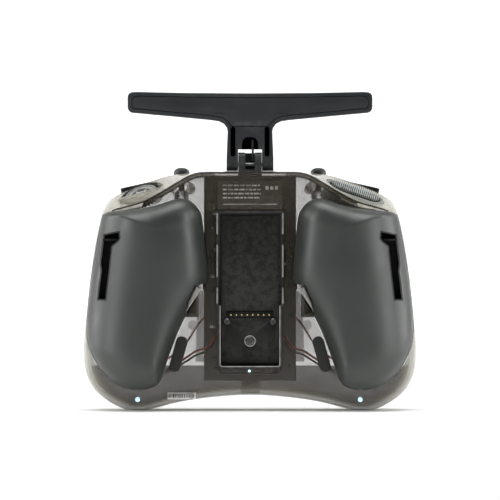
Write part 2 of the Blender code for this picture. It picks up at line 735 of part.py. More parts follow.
def front_shell():
    rings = front_rings(0)
    rings[0] = [p + Vector((0, GAP / 2, 0)) for p in rings[0]]
    shell = half_case("front_shell", rings, False, "smoke")
    cut(shell, box("feet", (-80, 80), (-40, 40), (-10, 0)))
    cut(shell, *[face_hole("gimbal", side * STICK_X, STICK_Z, 17.4) for side in (-1, 1)])
    cut(shell, box("screen", (-SCREEN_HALF_X - 1.3, SCREEN_HALF_X + 1.3), (4, 20),
                   (SCREEN_Z - SCREEN_HALF_Z - 1.3, SCREEN_Z + SCREEN_HALF_Z + 1.3)))
    cut(shell, *[face_hole("button", x, z, r + GAP) for x, z, r in BUTTONS.values()])
    cut(shell, box("roller", (ROLLER.x - 2.6, ROLLER.x + 2.6), (4, 20), (ROLLER.z - 5.4, ROLLER.z + 5.4)))
    for x, z, level in TRIMS.values():
        long, wide = 8.3, 2.6
        half = (long, wide) if level else (wide, long)
        cut(shell, box("trim", (x - half[0], x + half[0]), (4, 20), (z - half[1], z + half[1])))
    for k in range(5):
        cut(shell, box("grille", (-9, 9), (4, 20), (17.1 + k * 2.4, 18.3 + k * 2.4)))
    lever = (TOGGLE_TIP - TOGGLE_PIVOT).normalized()
    for side in (-1, 1):
        base = TOGGLE_PIVOT + Vector((side * TOGGLE_X, 0, 0))
        cut(shell, cylinder("toggle", 4.0, base - lever * 2, base + lever * 12, None, 16))
        cut(shell, push_hole(side))
    cut(shell, pill("usb", Vector((0, 6.0, 6.4)), 4.9, 2.0, -10, 10, (1, 0, 0), (0, 0, 1)))
    return shell


def gimbal_frame(side, label):
    x, z = side * STICK_X, STICK_Z
    h = FRAME_HALF
    body = box(f"gimbal_frame_{label}", (x - h, x + h), (-9.3, 9.0), (z - h, z + h), "black_plastic")
    inner = h - FRAME_WALL
    cut(body, box("inner", (x - inner, x + inner), (-30, 7.8), (z - inner, z + inner)))
    join(body, cylinder("collar", 16.9, (x, 7.0, z), (x, FACE_Y + 0.4, z), None, 28))
    cut(body, turned("funnel", [(11.8, 5), (11.8, 8.0), (16.1, FACE_Y + 0.6)], (x, 0, z), (0, 1, 0), None, 28))
    cut(body, cylinder("axle", 1.3, (x - 30, STICK_Y, z), (x + 30, STICK_Y, z), None, 12))
    return body


def gimbal_yoke(side, label):
    """A ring that swings about X on two axles in the frame."""
    origin = Vector((side * STICK_X, STICK_Y, STICK_Z))
    edge = [(RING_OUT, -1.5), (RING_OUT, 1.5)]
    ring = turned(f"gimbal_yoke_{label}", edge, origin, (0, 1, 0), "grey_plastic", 28)
    cut(ring, cylinder("hole", RING_IN, origin - Vector((0, 5, 0)), origin + Vector((0, 5, 0)), None, 28))
    for way in (-1, 1):
        join(ring, cylinder("axle", 1.0, origin + Vector((way * 16.4, 0, 0)),
                            origin + Vector((way * (FRAME_HALF - 0.2), 0, 0)), None, 12))
    cut(ring, cylinder("cross", 0.9, origin - Vector((0, 0, 25)), origin + Vector((0, 0, 25)), None, 12))
    return ring


def gimbal_stick(side, label):
    """A domed ball with its stick, turning about Z in the yoke."""
    origin = Vector((side * STICK_X, STICK_Y, STICK_Z))
    arc = [math.radians(a) for a in (-8, 8, 24, 40, 56, 70, 80)]
    outer = [(BALL_R * math.cos(a), BALL_R * math.sin(a)) for a in arc]
    inner = [((BALL_R - 1.4) * math.cos(a), (BALL_R - 1.4) * math.sin(a)) for a in arc]
    profile = [(0, BALL_R - 1.4)] + inner[::-1] + outer + [(1.9, BALL_R - 0.1), (1.9, TIP_Y - STICK_Y - 9.0),
                                                          (0, TIP_Y - STICK_Y - 9.0)]
    body = turned(f"gimbal_stick_{label}", profile, origin, (0, 1, 0), "black_plastic", 24)
    for way in (-1, 1):
        join(body, cylinder("axle", 0.6, origin + Vector((0, 0, way * 13.2)),
                            origin + Vector((0, 0, way * 17.0)), None, 10))
    return body


def stick_end(side, label):
    origin = Vector((side * STICK_X, STICK_Y, STICK_Z))
    top = TIP_Y - STICK_Y
    body = turned(f"stick_end_{label}", [(2.6, top - 13.5), (3.2, top - 12.8), (3.2, top - 6), (4.3, top - 2.4),
                                         (4.3, top - 0.6), (3.7, top)], origin, (0, 1, 0), "steel", 20)
    low, high = origin + Vector((0, top - 20, 0)), origin + Vector((0, top - 8.6, 0))
    bore = cylinder("bore", 2.2, low, high, None, 16)
    cup = turned("cup", [(0, top - 1.0), (2.6, top - 0.4), (3.0, top + 1)], origin, (0, 1, 0), None, 16)
    return cut(body, bore, cup)


def toggle(side, label):
    """The switch body under the case wall, and the lever that stands out of it."""
    lever = (TOGGLE_TIP - TOGGLE_PIVOT).normalized()
    base = TOGGLE_PIVOT + Vector((side * TOGGLE_X, 0, 0))
    tip = TOGGLE_TIP + Vector((side * TOGGLE_X, 0, 0))
    length = (tip - base).length
    body = turned(f"toggle_body_{label}", [(3.3, -7), (3.3, 2.6), (2.4, 2.6), (2.4, -2.2), (0, -2.2)],
                  base, lever, "steel", 16)
    profile = [(0, -1.7), (1.4, -1.4), (1.5, 2), (1.4, length - 2.4), (3.3, length - 1.0), (3.75, length - 0.2),
               (3.75, length + 1.5), (3.45, length + 2.3), (2.6, length + 2.8), (0, length + 3.1)]
    arm = turned(f"toggle_lever_{label}", profile, base, lever, "black_plastic", 20)
    return body, arm


def push_button(side, label):
    axis = mirror_x(PUSH_AXIS, side)
    along = axis.cross(Vector((0, 1, 0)))
    return pill(f"shoulder_push_{label}", mirror_x(PUSH_CENTRE, side), 8.7, 2.5, -5, 2.6, along, axis,
                "black_plastic")


def momentary():
    seat = pill("momentary_bezel", MOMENTARY_CENTRE, 14.2, 6.2, -6, 1.6, SLOPE_ALONG, SLOPE_NORMAL, "black_plastic")
    cut(seat, pill("hollow", MOMENTARY_CENTRE, 12.5, 4.7, -4.8, 10, SLOPE_ALONG, SLOPE_NORMAL))
    cap = pill("momentary_button", MOMENTARY_CENTRE, 12.1, 4.3, -3.2, 3.0, SLOPE_ALONG, SLOPE_NORMAL,
               "grey_plastic")
    place = frame_matrix(MOMENTARY_CENTRE, SLOPE_NORMAL, SLOPE_ALONG)
    for k in range(12):
        at = (k - 5.5) * 1.7
        groove = slab("groove", [(at - 0.4, -6), (at + 0.4, -6), (at + 0.4, 6), (at - 0.4, 6)], 2.4, 9, place)
        cut(cap, groove)
    return seat, cap


def thumb_wheel():
    centre = WHEEL_CENTRE
    teeth = 36
    outline = []
    for k in range(2 * teeth):
        radius = WHEEL_R - (0.5 if k % 2 else 0)
        angle = math.pi * k / teeth
        outline.append((radius * math.cos(angle), radius * math.sin(angle)))
    wheel = slab("thumb_wheel", outline, -WHEEL_HALF, WHEEL_HALF, frame_matrix(centre, DIAL_AXIS), "black_plastic")
    cut(wheel, cylinder("bore", 1.8, centre - DIAL_AXIS * 9, centre + DIAL_AXIS * 9, None, 12))
    axle = cylinder("wheel_axle", 1.5, centre - DIAL_AXIS * 1.9, centre + DIAL_AXIS * 1.5, "steel", 12)
    return wheel, axle


def roller():
    centre = ROLLER
    teeth = 18
    outline = []
    for k in range(2 * teeth):
        radius = 4.9 - (0.4 if k % 2 else 0)
        outline.append((radius * math.cos(math.pi * k / teeth), radius * math.sin(math.pi * k / teeth)))
    wheel = slab("scroll_roller", outline, -2.2, 2.2, frame_matrix(centre, (1, 0, 0), (0, 1, 0)), "black_plastic")
    return wheel


def rocker(name, x, z, level):
    half = (7.9, 2.2) if level else (2.2, 7.9)
    y = FACE_Y
    body = box(name, (x - half[0], x + half[0]), (y - 3.2, y + 1.0), (z - half[1], z + half[1]), "black_plastic")
    long = 0 if level else 1
    for way in (-1, 1):
        if level:
            wedge = box("end", sorted((x + way * 4.0, x + way * 7.9)), (y + 0.5, y + 2.0), (z - 2.2, z + 2.2))
        else:
            wedge = box("end", (x - 2.2, x + 2.2), (y + 0.5, y + 2.0), sorted((z + way * 4.0, z + way * 7.9)))
        join(body, wedge)
    return body


# ---------------------------------------------------------------- antenna
ANTENNA_Y = (HINGE_Y - 3.0, HINGE_Y + 3.0)
BAR_EDGE = [
    (0, 148.2), (30, 148.4), (53, 148.9), (56.4, 148.3), (57.3, 146.6), (57.3, 141.2), (56.4, 139.5),
    (53.6, 139.0),
    (36, 137.4), (16.5, 135.6), (12.4, 134.2), (10.5, 131.2), (10.7, 125), (11, 118), (11, HINGE_Z),
]


def antenna():
    half = BAR_EDGE
    left = [(-x, z) for x, z in half[::-1] if x > 0]
    shell = prism("antenna_shell", half + left, ANTENNA_Y, "antenna_plastic")
    knuckles = cylinder("knuckle", KNUCKLE_R, (-11, HINGE_Y, HINGE_Z), (11, HINGE_Y, HINGE_Z), None, 20)
    join(shell, knuckles)
    cut(shell, box("fork", (-FORK_HALF, FORK_HALF), (-20, 20), (105, FORK_TOP)))
    panel_edge = [(0, 146.4), (30, 146.6), (52.6, 147.1), (54.6, 146.5), (55.4, 145.4), (55.4, 142.2),
                  (54.6, 141.1), (52.9, 140.8), (36, 139.2), (16.2, 137.4), (11.4, 135.6), (8.6, 132.6), (0, 132.6)]
    loop = panel_edge + [(-x, z) for x, z in panel_edge[::-1] if x > 0]
    cut(shell, prism("recess", loop, (-20, ANTENNA_Y[0] + 1.4)))
    cut(shell, prism("pocket", [(-53, 145), (53, 145), (53, 142), (5, 139), (5, 134), (-5, 134), (-5, 139), (-53, 142)],
                     (-20, ANTENNA_Y[1] - 1.3)))
    arch = [(-3.85, 110), (-3.85, 124.5), (-2.9, 126.9), (-1.4, 127.8), (1.4, 127.8), (2.9, 126.9), (3.85, 124.5),
            (3.85, 110)]
    cut(shell, prism("arch", arch, (-20, HINGE_Y + 1.6)))
    for side in (-1, 1):
        slit = [(side * x, z) for x, z in ((6.4, 119.5), (6.4, 132.2), (8.4, 132.2), (8.6, 119.5))]
        cut(shell, prism("slit", slit, (-20, ANTENNA_Y[0] + 1.8)))
    cut(shell, cylinder("pin_hole", PIN_HOLE_R, (-10, HINGE_Y, HINGE_Z), (10, HINGE_Y, HINGE_Z), None, 16))
    panel = prism("antenna_panel", grown(loop, -0.35), (ANTENNA_Y[0] + 0.1, ANTENNA_Y[0] + 1.3), "antenna_plastic")
    element = prism("antenna_element", [(-52, 144.4), (52, 144.4), (52, 142.8), (1, 142.8), (1, 134.8), (-1, 134.8),
                                        (-1, 142.8), (-52, 142.8)], (HINGE_Y - 0.6, HINGE_Y + 0.6), "gold")
    return shell, panel, element


def hinge_block():
    """The clevis that stands on the case, with a slot down its rear for the cable."""
    front, rear = HINGE_Y + 3.2, HINGE_Y - 3.2
    side = [(rear, 106.5), (rear, BLOCK_TOP - 2.4), (rear + 0.8, BLOCK_TOP - 0.8), (rear + 2.2, BLOCK_TOP),
            (front - 2.2, BLOCK_TOP), (front - 0.8, BLOCK_TOP - 0.8), (front, BLOCK_TOP - 2.4), (front, 106.5)]
    place = Matrix(((0, 0, 1, 0), (1, 0, 0, 0), (0, 1, 0, 0), (0, 0, 0, 1)))
    block = slab("hinge_block", side, -BLOCK_HALF, BLOCK_HALF, place, "antenna_plastic")
    join(block, box("foot", (-11, 11), (HINGE_Y - 5, HINGE_Y + 5), (105.4, 108.2)))
    cut(block, box("slot", (-2.2, 2.2), (-20, front - 1.6), (112.5, 130)))
    return cut(block, cylinder("pin_hole", PIN_HOLE_R, (-12, HINGE_Y, HINGE_Z), (12, HINGE_Y, HINGE_Z), None, 16))


# ---------------------------------------------------------------- assembly
def centred(obj, at):
    """Moves the object's origin to a point given in millimetres, leaving its mesh where it is."""
    spot = to_world(at)
    obj.data.transform(Matrix.Translation(-spot))
    obj.location = spot
    return obj


def build():
    for obj in list(bpy.data.objects):
        bpy.data.objects.remove(obj)
    rear_shell()
    front_shell()
    bay_tray()
    bay_plate()
    pin_header()
    for k, (x, z, r) in enumerate(BAY_SCREWS):
        screw(f"bay_screw_{k + 1}", Vector((x, BAY_FLOOR_Y - 1.6, z)), (0, -1, 0), r, 1.0, 1.2)
    box("main_board", (-21.4, 21.4), (-3.6, -2.0), (14, 104.5), "board")
    for side, label in ((-1, "left"), (1, "right")):
        centred(cover(side, label), (side * 45, -20, 50))
        latch(side, label)
        pad(side, label)
        centred(cell(side, label), cell_ends(side)[0])
        cradle(side, label)
        contact(side, label)
        gimbal_frame(side, label)
        pivot = (side * STICK_X, STICK_Y, STICK_Z)
        centred(gimbal_yoke(side, label), pivot)
        centred(gimbal_stick(side, label), pivot)
        centred(stick_end(side, label), pivot)
        body, arm = toggle(side, label)
        centred(arm, TOGGLE_PIVOT + Vector((side * TOGGLE_X, 0, 0)))
        centred(push_button(side, label), mirror_x(PUSH_CENTRE, side))
    seat, cap = momentary()
    centred(cap, MOMENTARY_CENTRE)
    wheel, axle = thumb_wheel()
    centred(wheel, WHEEL_CENTRE)
    centred(roller(), ROLLER)
    box("screen_panel", (-SCREEN_HALF_X + 1, SCREEN_HALF_X - 1), (FACE_Y - 4.4, FACE_Y - 2.4),
        (SCREEN_Z - SCREEN_HALF_Z + 1, SCREEN_Z + SCREEN_HALF_Z - 1), "screen_panel")
    box("screen_window", (-SCREEN_HALF_X - 1, SCREEN_HALF_X + 1), (FACE_Y - 1.8, FACE_Y + 0.3),
        (SCREEN_Z - SCREEN_HALF_Z - 1, SCREEN_Z + SCREEN_HALF_Z + 1), "screen_glass")
    turned("speaker", [(8.5, 0), (8.5, 3.6), (4, 3.6), (4, 5)], (0, FACE_Y - WALL - GAP, 22.5), (0, -1, 0),
           "black_plastic", 24)
    for name, (x, z, r) in BUTTONS.items():
        button = turned(name, [(r + 0.8, -3.6), (r + 0.8, -2.8), (r, -2.8), (r, 0.9), (r - 0.5, 1.4)],
                        (x, FACE_Y, z), (0, 1, 0), "black_plastic", 20)
        centred(button, (x, FACE_Y, z))
    for name, (x, z, level) in TRIMS.items():
        centred(rocker(name, x, z, level), (x, FACE_Y - 2.0, z))
    shell, panel, element = antenna()
    hinge_block()
    pin = cylinder("hinge_pin", PIN_R, (-9.6, HINGE_Y, HINGE_Z), (9.6, HINGE_Y, HINGE_Z), "steel", 16)
    coax = cylinder("coax_cable", 0.55, (1.3, HINGE_Y - 0.4, HINGE_Z + 1.7), (1.3, HINGE_Y - 0.4, 126.5),
                    "black_plastic", 10)
    hinge = (0, HINGE_Y, HINGE_Z)
    for piece in (shell, panel, element, coax):
        centred(piece, hinge)
    socket = pill("charging_socket", Vector((0, 6.0, 9.6)), 4.5, 1.6, -2.4, 4.0, (1, 0, 0), (0, 0, 1), "steel")
    cut(socket, pill("hollow", Vector((0, 6.0, 9.6)), 4.1, 1.2, -5.0, 3.2, (1, 0, 0), (0, 0, 1)))


build()
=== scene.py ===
"""The looks of a handheld radio transmitter controller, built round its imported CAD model."""

import math
import random

import bmesh
import bpy
from mathutils import Matrix, Vector


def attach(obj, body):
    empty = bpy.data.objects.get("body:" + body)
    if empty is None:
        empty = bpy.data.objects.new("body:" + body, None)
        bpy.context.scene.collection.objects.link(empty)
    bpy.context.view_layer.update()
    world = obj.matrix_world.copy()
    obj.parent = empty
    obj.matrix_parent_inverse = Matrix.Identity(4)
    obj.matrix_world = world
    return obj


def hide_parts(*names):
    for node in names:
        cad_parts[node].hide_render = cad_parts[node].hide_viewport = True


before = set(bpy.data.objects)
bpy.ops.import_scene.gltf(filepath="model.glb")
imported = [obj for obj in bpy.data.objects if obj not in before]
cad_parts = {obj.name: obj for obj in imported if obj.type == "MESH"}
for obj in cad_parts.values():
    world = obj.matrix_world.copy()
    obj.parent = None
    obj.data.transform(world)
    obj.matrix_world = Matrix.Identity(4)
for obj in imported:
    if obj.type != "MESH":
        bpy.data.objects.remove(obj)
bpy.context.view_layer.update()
MM = 0.001
LEFT, RIGHT = -1, 1
LABELS = {LEFT: "left", RIGHT: "right"}

# ---------------------------------------------------------------- shared shapes of the case (mm)
CREST_Y, PLATE_Y, FACE_Y, TIP_Y = -32.55, -17.0, 11.5, 32.55
WALL, GAP, FACE_INSET, CENTRE_Z = 2.0, 0.3, 4.5, 60.0
GRIP_SKIN = 1.8
BULGE_SIDE, BULGE_END = 2.15, 3.0
BAY_TOP, BAY_STEP, BAY_BOTTOM = 92.2, 49.3, 20.6
BAY_HALF_UPPER, BAY_HALF_LOWER, BAY_WALL, BAY_FLOOR_Y = 14.8, 13.9, 0.9, -7.0
HEADER_Z = 44.8
HINGE_Y, HINGE_Z = -4.0, 114.9
STICK_X, STICK_Y, STICK_Z = 44.5, -1.0, 64.0
MOMENTARY_CENTRE = Vector((48.9, -6.9, 101.4))
SLOPE_ALONG = Vector((0.945, 0, -0.326)).normalized()
SLOPE_ACROSS = Vector((0, 0.9, 0.436)).normalized()
SLOPE_NORMAL = SLOPE_ALONG.cross(SLOPE_ACROSS).normalized()
WHEEL_CENTRE, WHEEL_R, WHEEL_HALF = Vector((-50.6, -5.6, 99.9)), 9.0, 1.6
DIAL_TILT = math.radians(62)
DIAL_AXIS = Vector((-0.342 * math.sin(DIAL_TILT), -math.cos(DIAL_TILT), 0.94 * math.sin(DIAL_TILT)))
PUSH_AXIS, PUSH_CENTRE = Vector((0.22, 0, 0.975)).normalized(), Vector((52.2, 6.6, 103.9))
PAD_CENTRE, PAD_ALONG = Vector((33.3, 0, 26.5)), Vector((0.28, 0, -1)).normalized()

# Silhouette (x, z), rear plate's edge (x, z), parting line's depth, straightness of the wall.
STATIONS = [
    ((0, 111.6), (0, 110.9), 4, 1), ((14, 111.6), (14, 110.9), 4, 1),
    ((24, 111.4), (22.5, 110.8), 4, 1),
    ((31, 110.8), (28, 109.4), 4, 1), ((37, 110.0), (33.5, 106.4), 4, 1),
    ((44, 108.1), (41, 101.9), 4, 1),
    ((52, 105.2), (49.5, 97.4), 4, 1), ((60, 101.8), (58, 94.9), 4, 1),
    ((66, 98.2), (64.2, 93.0), 3.5, 0.8),
    ((69.2, 93.6), (66.4, 90.2), 2, 0.3), ((70.6, 87.5), (67, 85.5), 0.5, 0),
    ((72.6, 78), (68.4, 77), 0, 0),
    ((74.6, 65), (69.8, 65), 0, 0), ((76.2, 50), (71, 50), 0, 0), ((77.6, 37), (71.8, 38), 0, 0),
    ((78.3, 27), (71.2, 29), 0, 0), ((77.2, 18), (69.2, 21.5), -1, 0),
    ((73.6, 10.3), (66.2, 15.5), -2, 0),
    ((68, 5.1), (62.2, 11.6), -3, 0), ((61, 1.2), (57.5, 9.2), -3, 0),
    ((53.5, -0.8), (51.5, 8.2), -3, 0),
    ((45, 0.7), (44, 8.6), -3, 0), ((34, 3.4), (33.5, 10.4), -2, 0), ((22, 5.3), (22, 11.6), -1, 0),
    ((10, 6.4), (10, 12.3), 0, 0), ((0, 6.8), (0, 12.5), 0, 0),
]
GRIP_EDGE = [
    (-68.9, 90.6, -7.5), (-66.5, 92.4, -12), (-57.5, 93.5, -15.5), (-49.3, 94.6, -15.5),
    (-42.2, 96.2, -15.5),
    (-36.1, 98.2, -15.5), (-31.5, 99, -15.5), (-27.4, 97.6, -15.5), (-24.2, 94.4, -15.5),
    (-22.4, 90.5, -15.5),
    (-21.2, 80, -15.5), (-20, 68, -15.5), (-20.2, 60.5, -15.5), (-23.2, 54.8, -15.5),
    (-28.4, 46.8, -15.5),
    (-33, 37.6, -15.5), (-36.4, 29, -15.5), (-39.2, 21, -15.5), (-41.6, 14.2, -15.5),
    (-45.2, 10.9, -15.2),
    (-52.4, 9.6, -14.8), (-60, 11.2, -14.2), (-66, 15, -13.6), (-71, 21, -13), (-74.6, 28, -11),
    (-76.2, 36, -8),
    (-76, 46, -6), (-74.7, 58, -6), (-72.9, 70, -6), (-71.2, 80, -6),
]
GRIP_SPINE = ((-40.2, 84), (-46.6, 25))
SLOT_EDGE = [
    (-68.2, 82.4), (-60.2, 83.9), (-59.8, 80.2), (-60.6, 78.8), (-63.6, 76.4), (-64.6, 67),
    (-66.4, 51.4), (-71.1, 51.4), (-70.4, 58), (-69.4, 65.2), (-69.9, 68.8), (-69.2, 74.4),
]
NOTCH_EDGE = [(-18, 59.4), (-25.6, 58.6), (-29.3, 50), (-29.6, 44.4), (-24, 40)]
SLOT_FLOOR_Y, SLOT_WALL = -11.5, 1.0


# ---------------------------------------------------------------- camera, lights and floor
def stand_camera():
    data = bpy.data.cameras.new("camera")
    data.sensor_width, data.lens = 36, 36 * 1.8 / 0.2347
    data.clip_start, data.clip_end = 0.05, 20
    cam = bpy.data.objects.new("camera", data)
    bpy.context.scene.collection.objects.link(cam)
    cam.location = (0, -1.8, 0.0749)
    cam.rotation_euler = (math.radians(90), 0, 0)
    bpy.context.scene.camera = cam


def soft_light(name, place, aim, size, watts, shade=(1, 1, 1)):
    data = bpy.data.lights.new(name, "AREA")
    data.shape, data.size, data.size_y = "RECTANGLE", size[0], size[1]
    data.energy, data.color = watts, shade
    lamp = bpy.data.objects.new(name, data)
    bpy.context.scene.collection.objects.link(lamp)
    lamp.location = place
    lamp.rotation_euler = (Vector(aim) - Vector(place)).to_track_quat("-Z", "Y").to_euler()
    return lamp


def light_the_set():
    world = bpy.data.worlds.new("studio")
    bpy.context.scene.world = world
    world.use_nodes = True
    world.node_tree.nodes["Background"].inputs["Color"].default_value = (1, 1, 1, 1)
    world.node_tree.nodes["Background"].inputs["Strength"].default_value = 0.10
    soft_light("left_box", (-0.85, -0.42, 0.16), (0, 0, 0.06), (0.30, 0.9), 5.0)
    soft_light("right_box", (0.85, -0.42, 0.16), (0, 0, 0.06), (0.30, 0.9), 5.0)
    soft_light("left_rim", (-0.95, 0.22, 0.30), (0, 0, 0.06), (0.5, 0.8), 5.5)
    soft_light("right_rim", (0.95, 0.22, 0.30), (0, 0, 0.06), (0.5, 0.8), 5.5)
    soft_light("top_box", (0, -0.1, 1.1), (0, 0, 0.05), (1.2, 0.9), 16)
    soft_light("back_glow", (0, 0.7, 0.9), (0, 2.0, 0.25), (2.2, 1.0), 26)


def lay_floor():
    bm = bmesh.new()
    profile = [(-2.6, 0.0), (1.2, 0.0)]
    profile += [(1.2 + 0.8 * math.sin(a),
                 0.8 - 0.8 * math.cos(a)) for a in [math.pi / 32 * k for k in range(1, 17)]]
    profile.append((2.0, 3.0))
    rows = [[bm.verts.new((x, y, z)) for x in (-4, 4)] for y, z in profile]
    for low, high in zip(rows, rows[1:]):
        bm.faces.new((low[0], low[1], high[1], high[0]))
    mesh = bpy.data.meshes.new("floor")
    bm.to_mesh(mesh)
    bm.free()
    mesh.shade_smooth()
    floor = bpy.data.objects.new("floor", mesh)
    bpy.context.scene.collection.objects.link(floor)
    mesh.materials.append(paper_white())


# ---------------------------------------------------------------- node groups for the finishes
def group(name, inputs, outputs):
    tree = bpy.data.node_groups.new(name, "ShaderNodeTree")
    for title, kind, value in inputs:
        made = tree.interface.new_socket(name=title, in_out="INPUT", socket_type=kind)
        if value is not None:
            made.default_value = value
    for title, kind in outputs:
        tree.interface.new_socket(name=title, in_out="OUTPUT", socket_type=kind)
    return tree, tree.nodes.new("NodeGroupInput"), tree.nodes.new("NodeGroupOutput")


FLOAT = "NodeSocketFloat"


def wire(tree, source, target):
    tree.links.new(source, target)


def noise(tree, vector, scale, detail=3.0, rough=0.55):
    node = tree.nodes.new("ShaderNodeTexNoise")
    node.inputs["Detail"].default_value = detail
    node.inputs["Roughness"].default_value = rough
    wire(tree, vector, node.inputs["Vector"])
    if isinstance(scale, (int, float)):
        node.inputs["Scale"].default_value = scale
    else:
        wire(tree, scale, node.inputs["Scale"])
    return node.outputs["Fac"]


def maths(tree, how, a, b=None, c=None, clamp=False):
    node = tree.nodes.new("ShaderNodeMath")
    node.operation, node.use_clamp = how, clamp
    for k, value in enumerate((a, b, c)):
        if value is None:
            continue
        if isinstance(value, (int, float)):
            node.inputs[k].default_value = value
        else:
            wire(tree, value, node.inputs[k])
    return node.outputs[0]


def spread(tree, value, low, high, to_low=0.0, to_high=1.0):
    node = tree.nodes.new("ShaderNodeMapRange")
    node.interpolation_type = "SMOOTHSTEP"
    wire(tree, value, node.inputs["Value"])
    for title, number in (("From Min", low), ("From Max", high), ("To Min", to_low),
                          ("To Max", to_high)):
        if isinstance(number, (int, float)):
            node.inputs[title].default_value = number
        else:
            wire(tree, number, node.inputs[title])
    return node.outputs["Result"]


def blended(tree, factor, a, b, how="MIX"):
    node = tree.nodes.new("ShaderNodeMix")
    node.data_type, node.blend_type = "RGBA", how
    for socket, value in ((node.inputs[0], factor), (node.inputs[6], a), (node.inputs[7], b)):
        if isinstance(value, (int, float)):
            socket.default_value = value
        elif isinstance(value, tuple):
            socket.default_value = (*value[:3], 1)
        else:
            wire(tree, value, socket)
    return node.outputs[2]


def object_space(tree):
    return tree.nodes.new("ShaderNodeTexCoord").outputs["Object"]


def build_moulding():
    """Fine moulded grain with slow mottling. Height is the grain, Shade a slow change of tone."""
    tree, start, end = group("moulding", [("Grain", FLOAT, 3000), ("Mottle", FLOAT, 60)],
                             [("Height", FLOAT), ("Shade", FLOAT)])
    space = object_space(tree)
    fine = noise(tree, space, start.outputs["Grain"], 2, 0.6)
    slow = noise(tree, space, start.outputs["Mottle"], 4, 0.55)
    wire(tree, fine, end.inputs["Height"])
    wire(tree, spread(tree, slow, 0.3, 0.7), end.inputs["Shade"])
    return tree


def build_handling():
    """Marks of handling: Smudge is polish from skin, Scratch is hairlines and Dust is specks."""
    tree, start, end = group("handling", [("Scale", FLOAT, 1.0)],
                             [("Smudge", FLOAT), ("Scratch", FLOAT), ("Dust", FLOAT)])
    space = object_space(tree)
    smudge = noise(tree, space, maths(tree, "MULTIPLY", start.outputs["Scale"], 45), 5, 0.6)
    wire(tree, spread(tree, smudge, 0.42, 0.66), end.inputs["Smudge"])
    turn = tree.nodes.new("ShaderNodeMapping")
    turn.inputs["Rotation"].default_value = (0.4, 0.9, 0.3)
    turn.inputs["Scale"].default_value = (1, 14, 1)
    wire(tree, space, turn.inputs["Vector"])
    hair = noise(tree, turn.outputs[0], maths(tree, "MULTIPLY", start.outputs["Scale"], 260), 2,
                 0.5)
    wire(tree, spread(tree, hair, 0.70, 0.76), end.inputs["Scratch"])
    specks = noise(tree, space, maths(tree, "MULTIPLY", start.outputs["Scale"], 1900), 1, 0.5)
    wire(tree, spread(tree, specks, 0.74, 0.80), end.inputs["Dust"])
    return tree


def build_edges():
    """Edge is 1 on worn convex edges and 0 elsewhere."""
    tree, start, end = group("edges", [("Reach", FLOAT, 0.02)], [("Edge", FLOAT)])
    point = tree.nodes.new("ShaderNodeNewGeometry").outputs["Pointiness"]
    rub = noise(tree, object_space(tree), 420, 4, 0.65)
    edge = spread(tree, point, 0.52, maths(tree, "ADD", start.outputs["Reach"], 0.53))
    wire(tree, maths(tree, "MULTIPLY", edge, spread(tree, rub, 0.35, 0.6)), end.inputs["Edge"])
    return tree


GROUPS = {}


def use(tree, name, **values):
    if name not in GROUPS:
        GROUPS[name] = {"moulding": build_moulding, "handling": build_handling,
                        "edges": build_edges}[name]()
    node = tree.nodes.new("ShaderNodeGroup")
    node.node_tree = GROUPS[name]
    for title, value in values.items():
        node.inputs[title].default_value = value
    return node.outputs


def blank(name):
    made = bpy.data.materials.new(name)
    made.use_nodes = True
    tree = made.node_tree
    return made, tree, tree.nodes["Principled BSDF"]


def bump(tree, shader, height, strength, distance=0.0002):
    node = tree.nodes.new("ShaderNodeBump")
    node.inputs["Strength"].default_value = strength
    node.inputs["Distance"].default_value = distance
    wire(tree, height, node.inputs["Height"])
    wire(tree, node.outputs[0], shader.inputs["Normal"])


def paper_white():
    made, tree, shader = blank("paper_white")
    tone = noise(tree, object_space(tree), 3, 2)
    wire(tree, blended(tree, spread(tree, tone, 0.3, 0.7), (0.86, 0.86, 0.86), (0.89, 0.89, 0.89)),
         shader.inputs["Base Color"])
    shader.inputs["Roughness"].default_value = 0.8
    shader.inputs["Specular IOR Level"].default_value = 0.2
    return made


MADE = {}


def plastic(name, colour, rough=0.45, grain=3000, grain_depth=0.12, worn=None, reach=0.03,
            gloss=0.5, metal=0.0,
            tone=0.18, smudge=0.10):
    """A moulded or machined finish: grain, slow tone, polished smudges, dust and rubbed edges."""
    if name in MADE:
        return MADE[name]
    made, tree, shader = blank(name)
    mould = use(tree, "moulding", Grain=grain, Mottle=55)
    touch = use(tree, "handling", Scale=1.0)
    edge = use(tree, "edges", Reach=reach)["Edge"]
    dark = tuple(c * (1 - tone) for c in colour)
    light = tuple(min(1, c * (1 + tone)) for c in colour)
    base = blended(tree, mould["Shade"], dark, light)
    rubbed = worn or tuple(min(1, c * 1.8 + 0.02) for c in colour)
    base = blended(tree, maths(tree, "MULTIPLY", edge, 0.6), base, rubbed)
    base = blended(tree, maths(tree, "MULTIPLY", touch["Dust"], 0.05), base, (0.5, 0.49, 0.46))
    wire(tree, base, shader.inputs["Base Color"])
    value = maths(tree, "SUBTRACT", rough + 0.04, maths(tree, "MULTIPLY", touch["Smudge"], smudge))
    value = maths(tree, "ADD", value, maths(tree, "MULTIPLY", touch["Scratch"], 0.08), clamp=True)
    wire(tree, value, shader.inputs["Roughness"])
    shader.inputs["Metallic"].default_value = metal
    shader.inputs["Specular IOR Level"].default_value = gloss
    bump(tree, shader, mould["Height"], grain_depth, 0.0001)
    MADE[name] = made
    return made


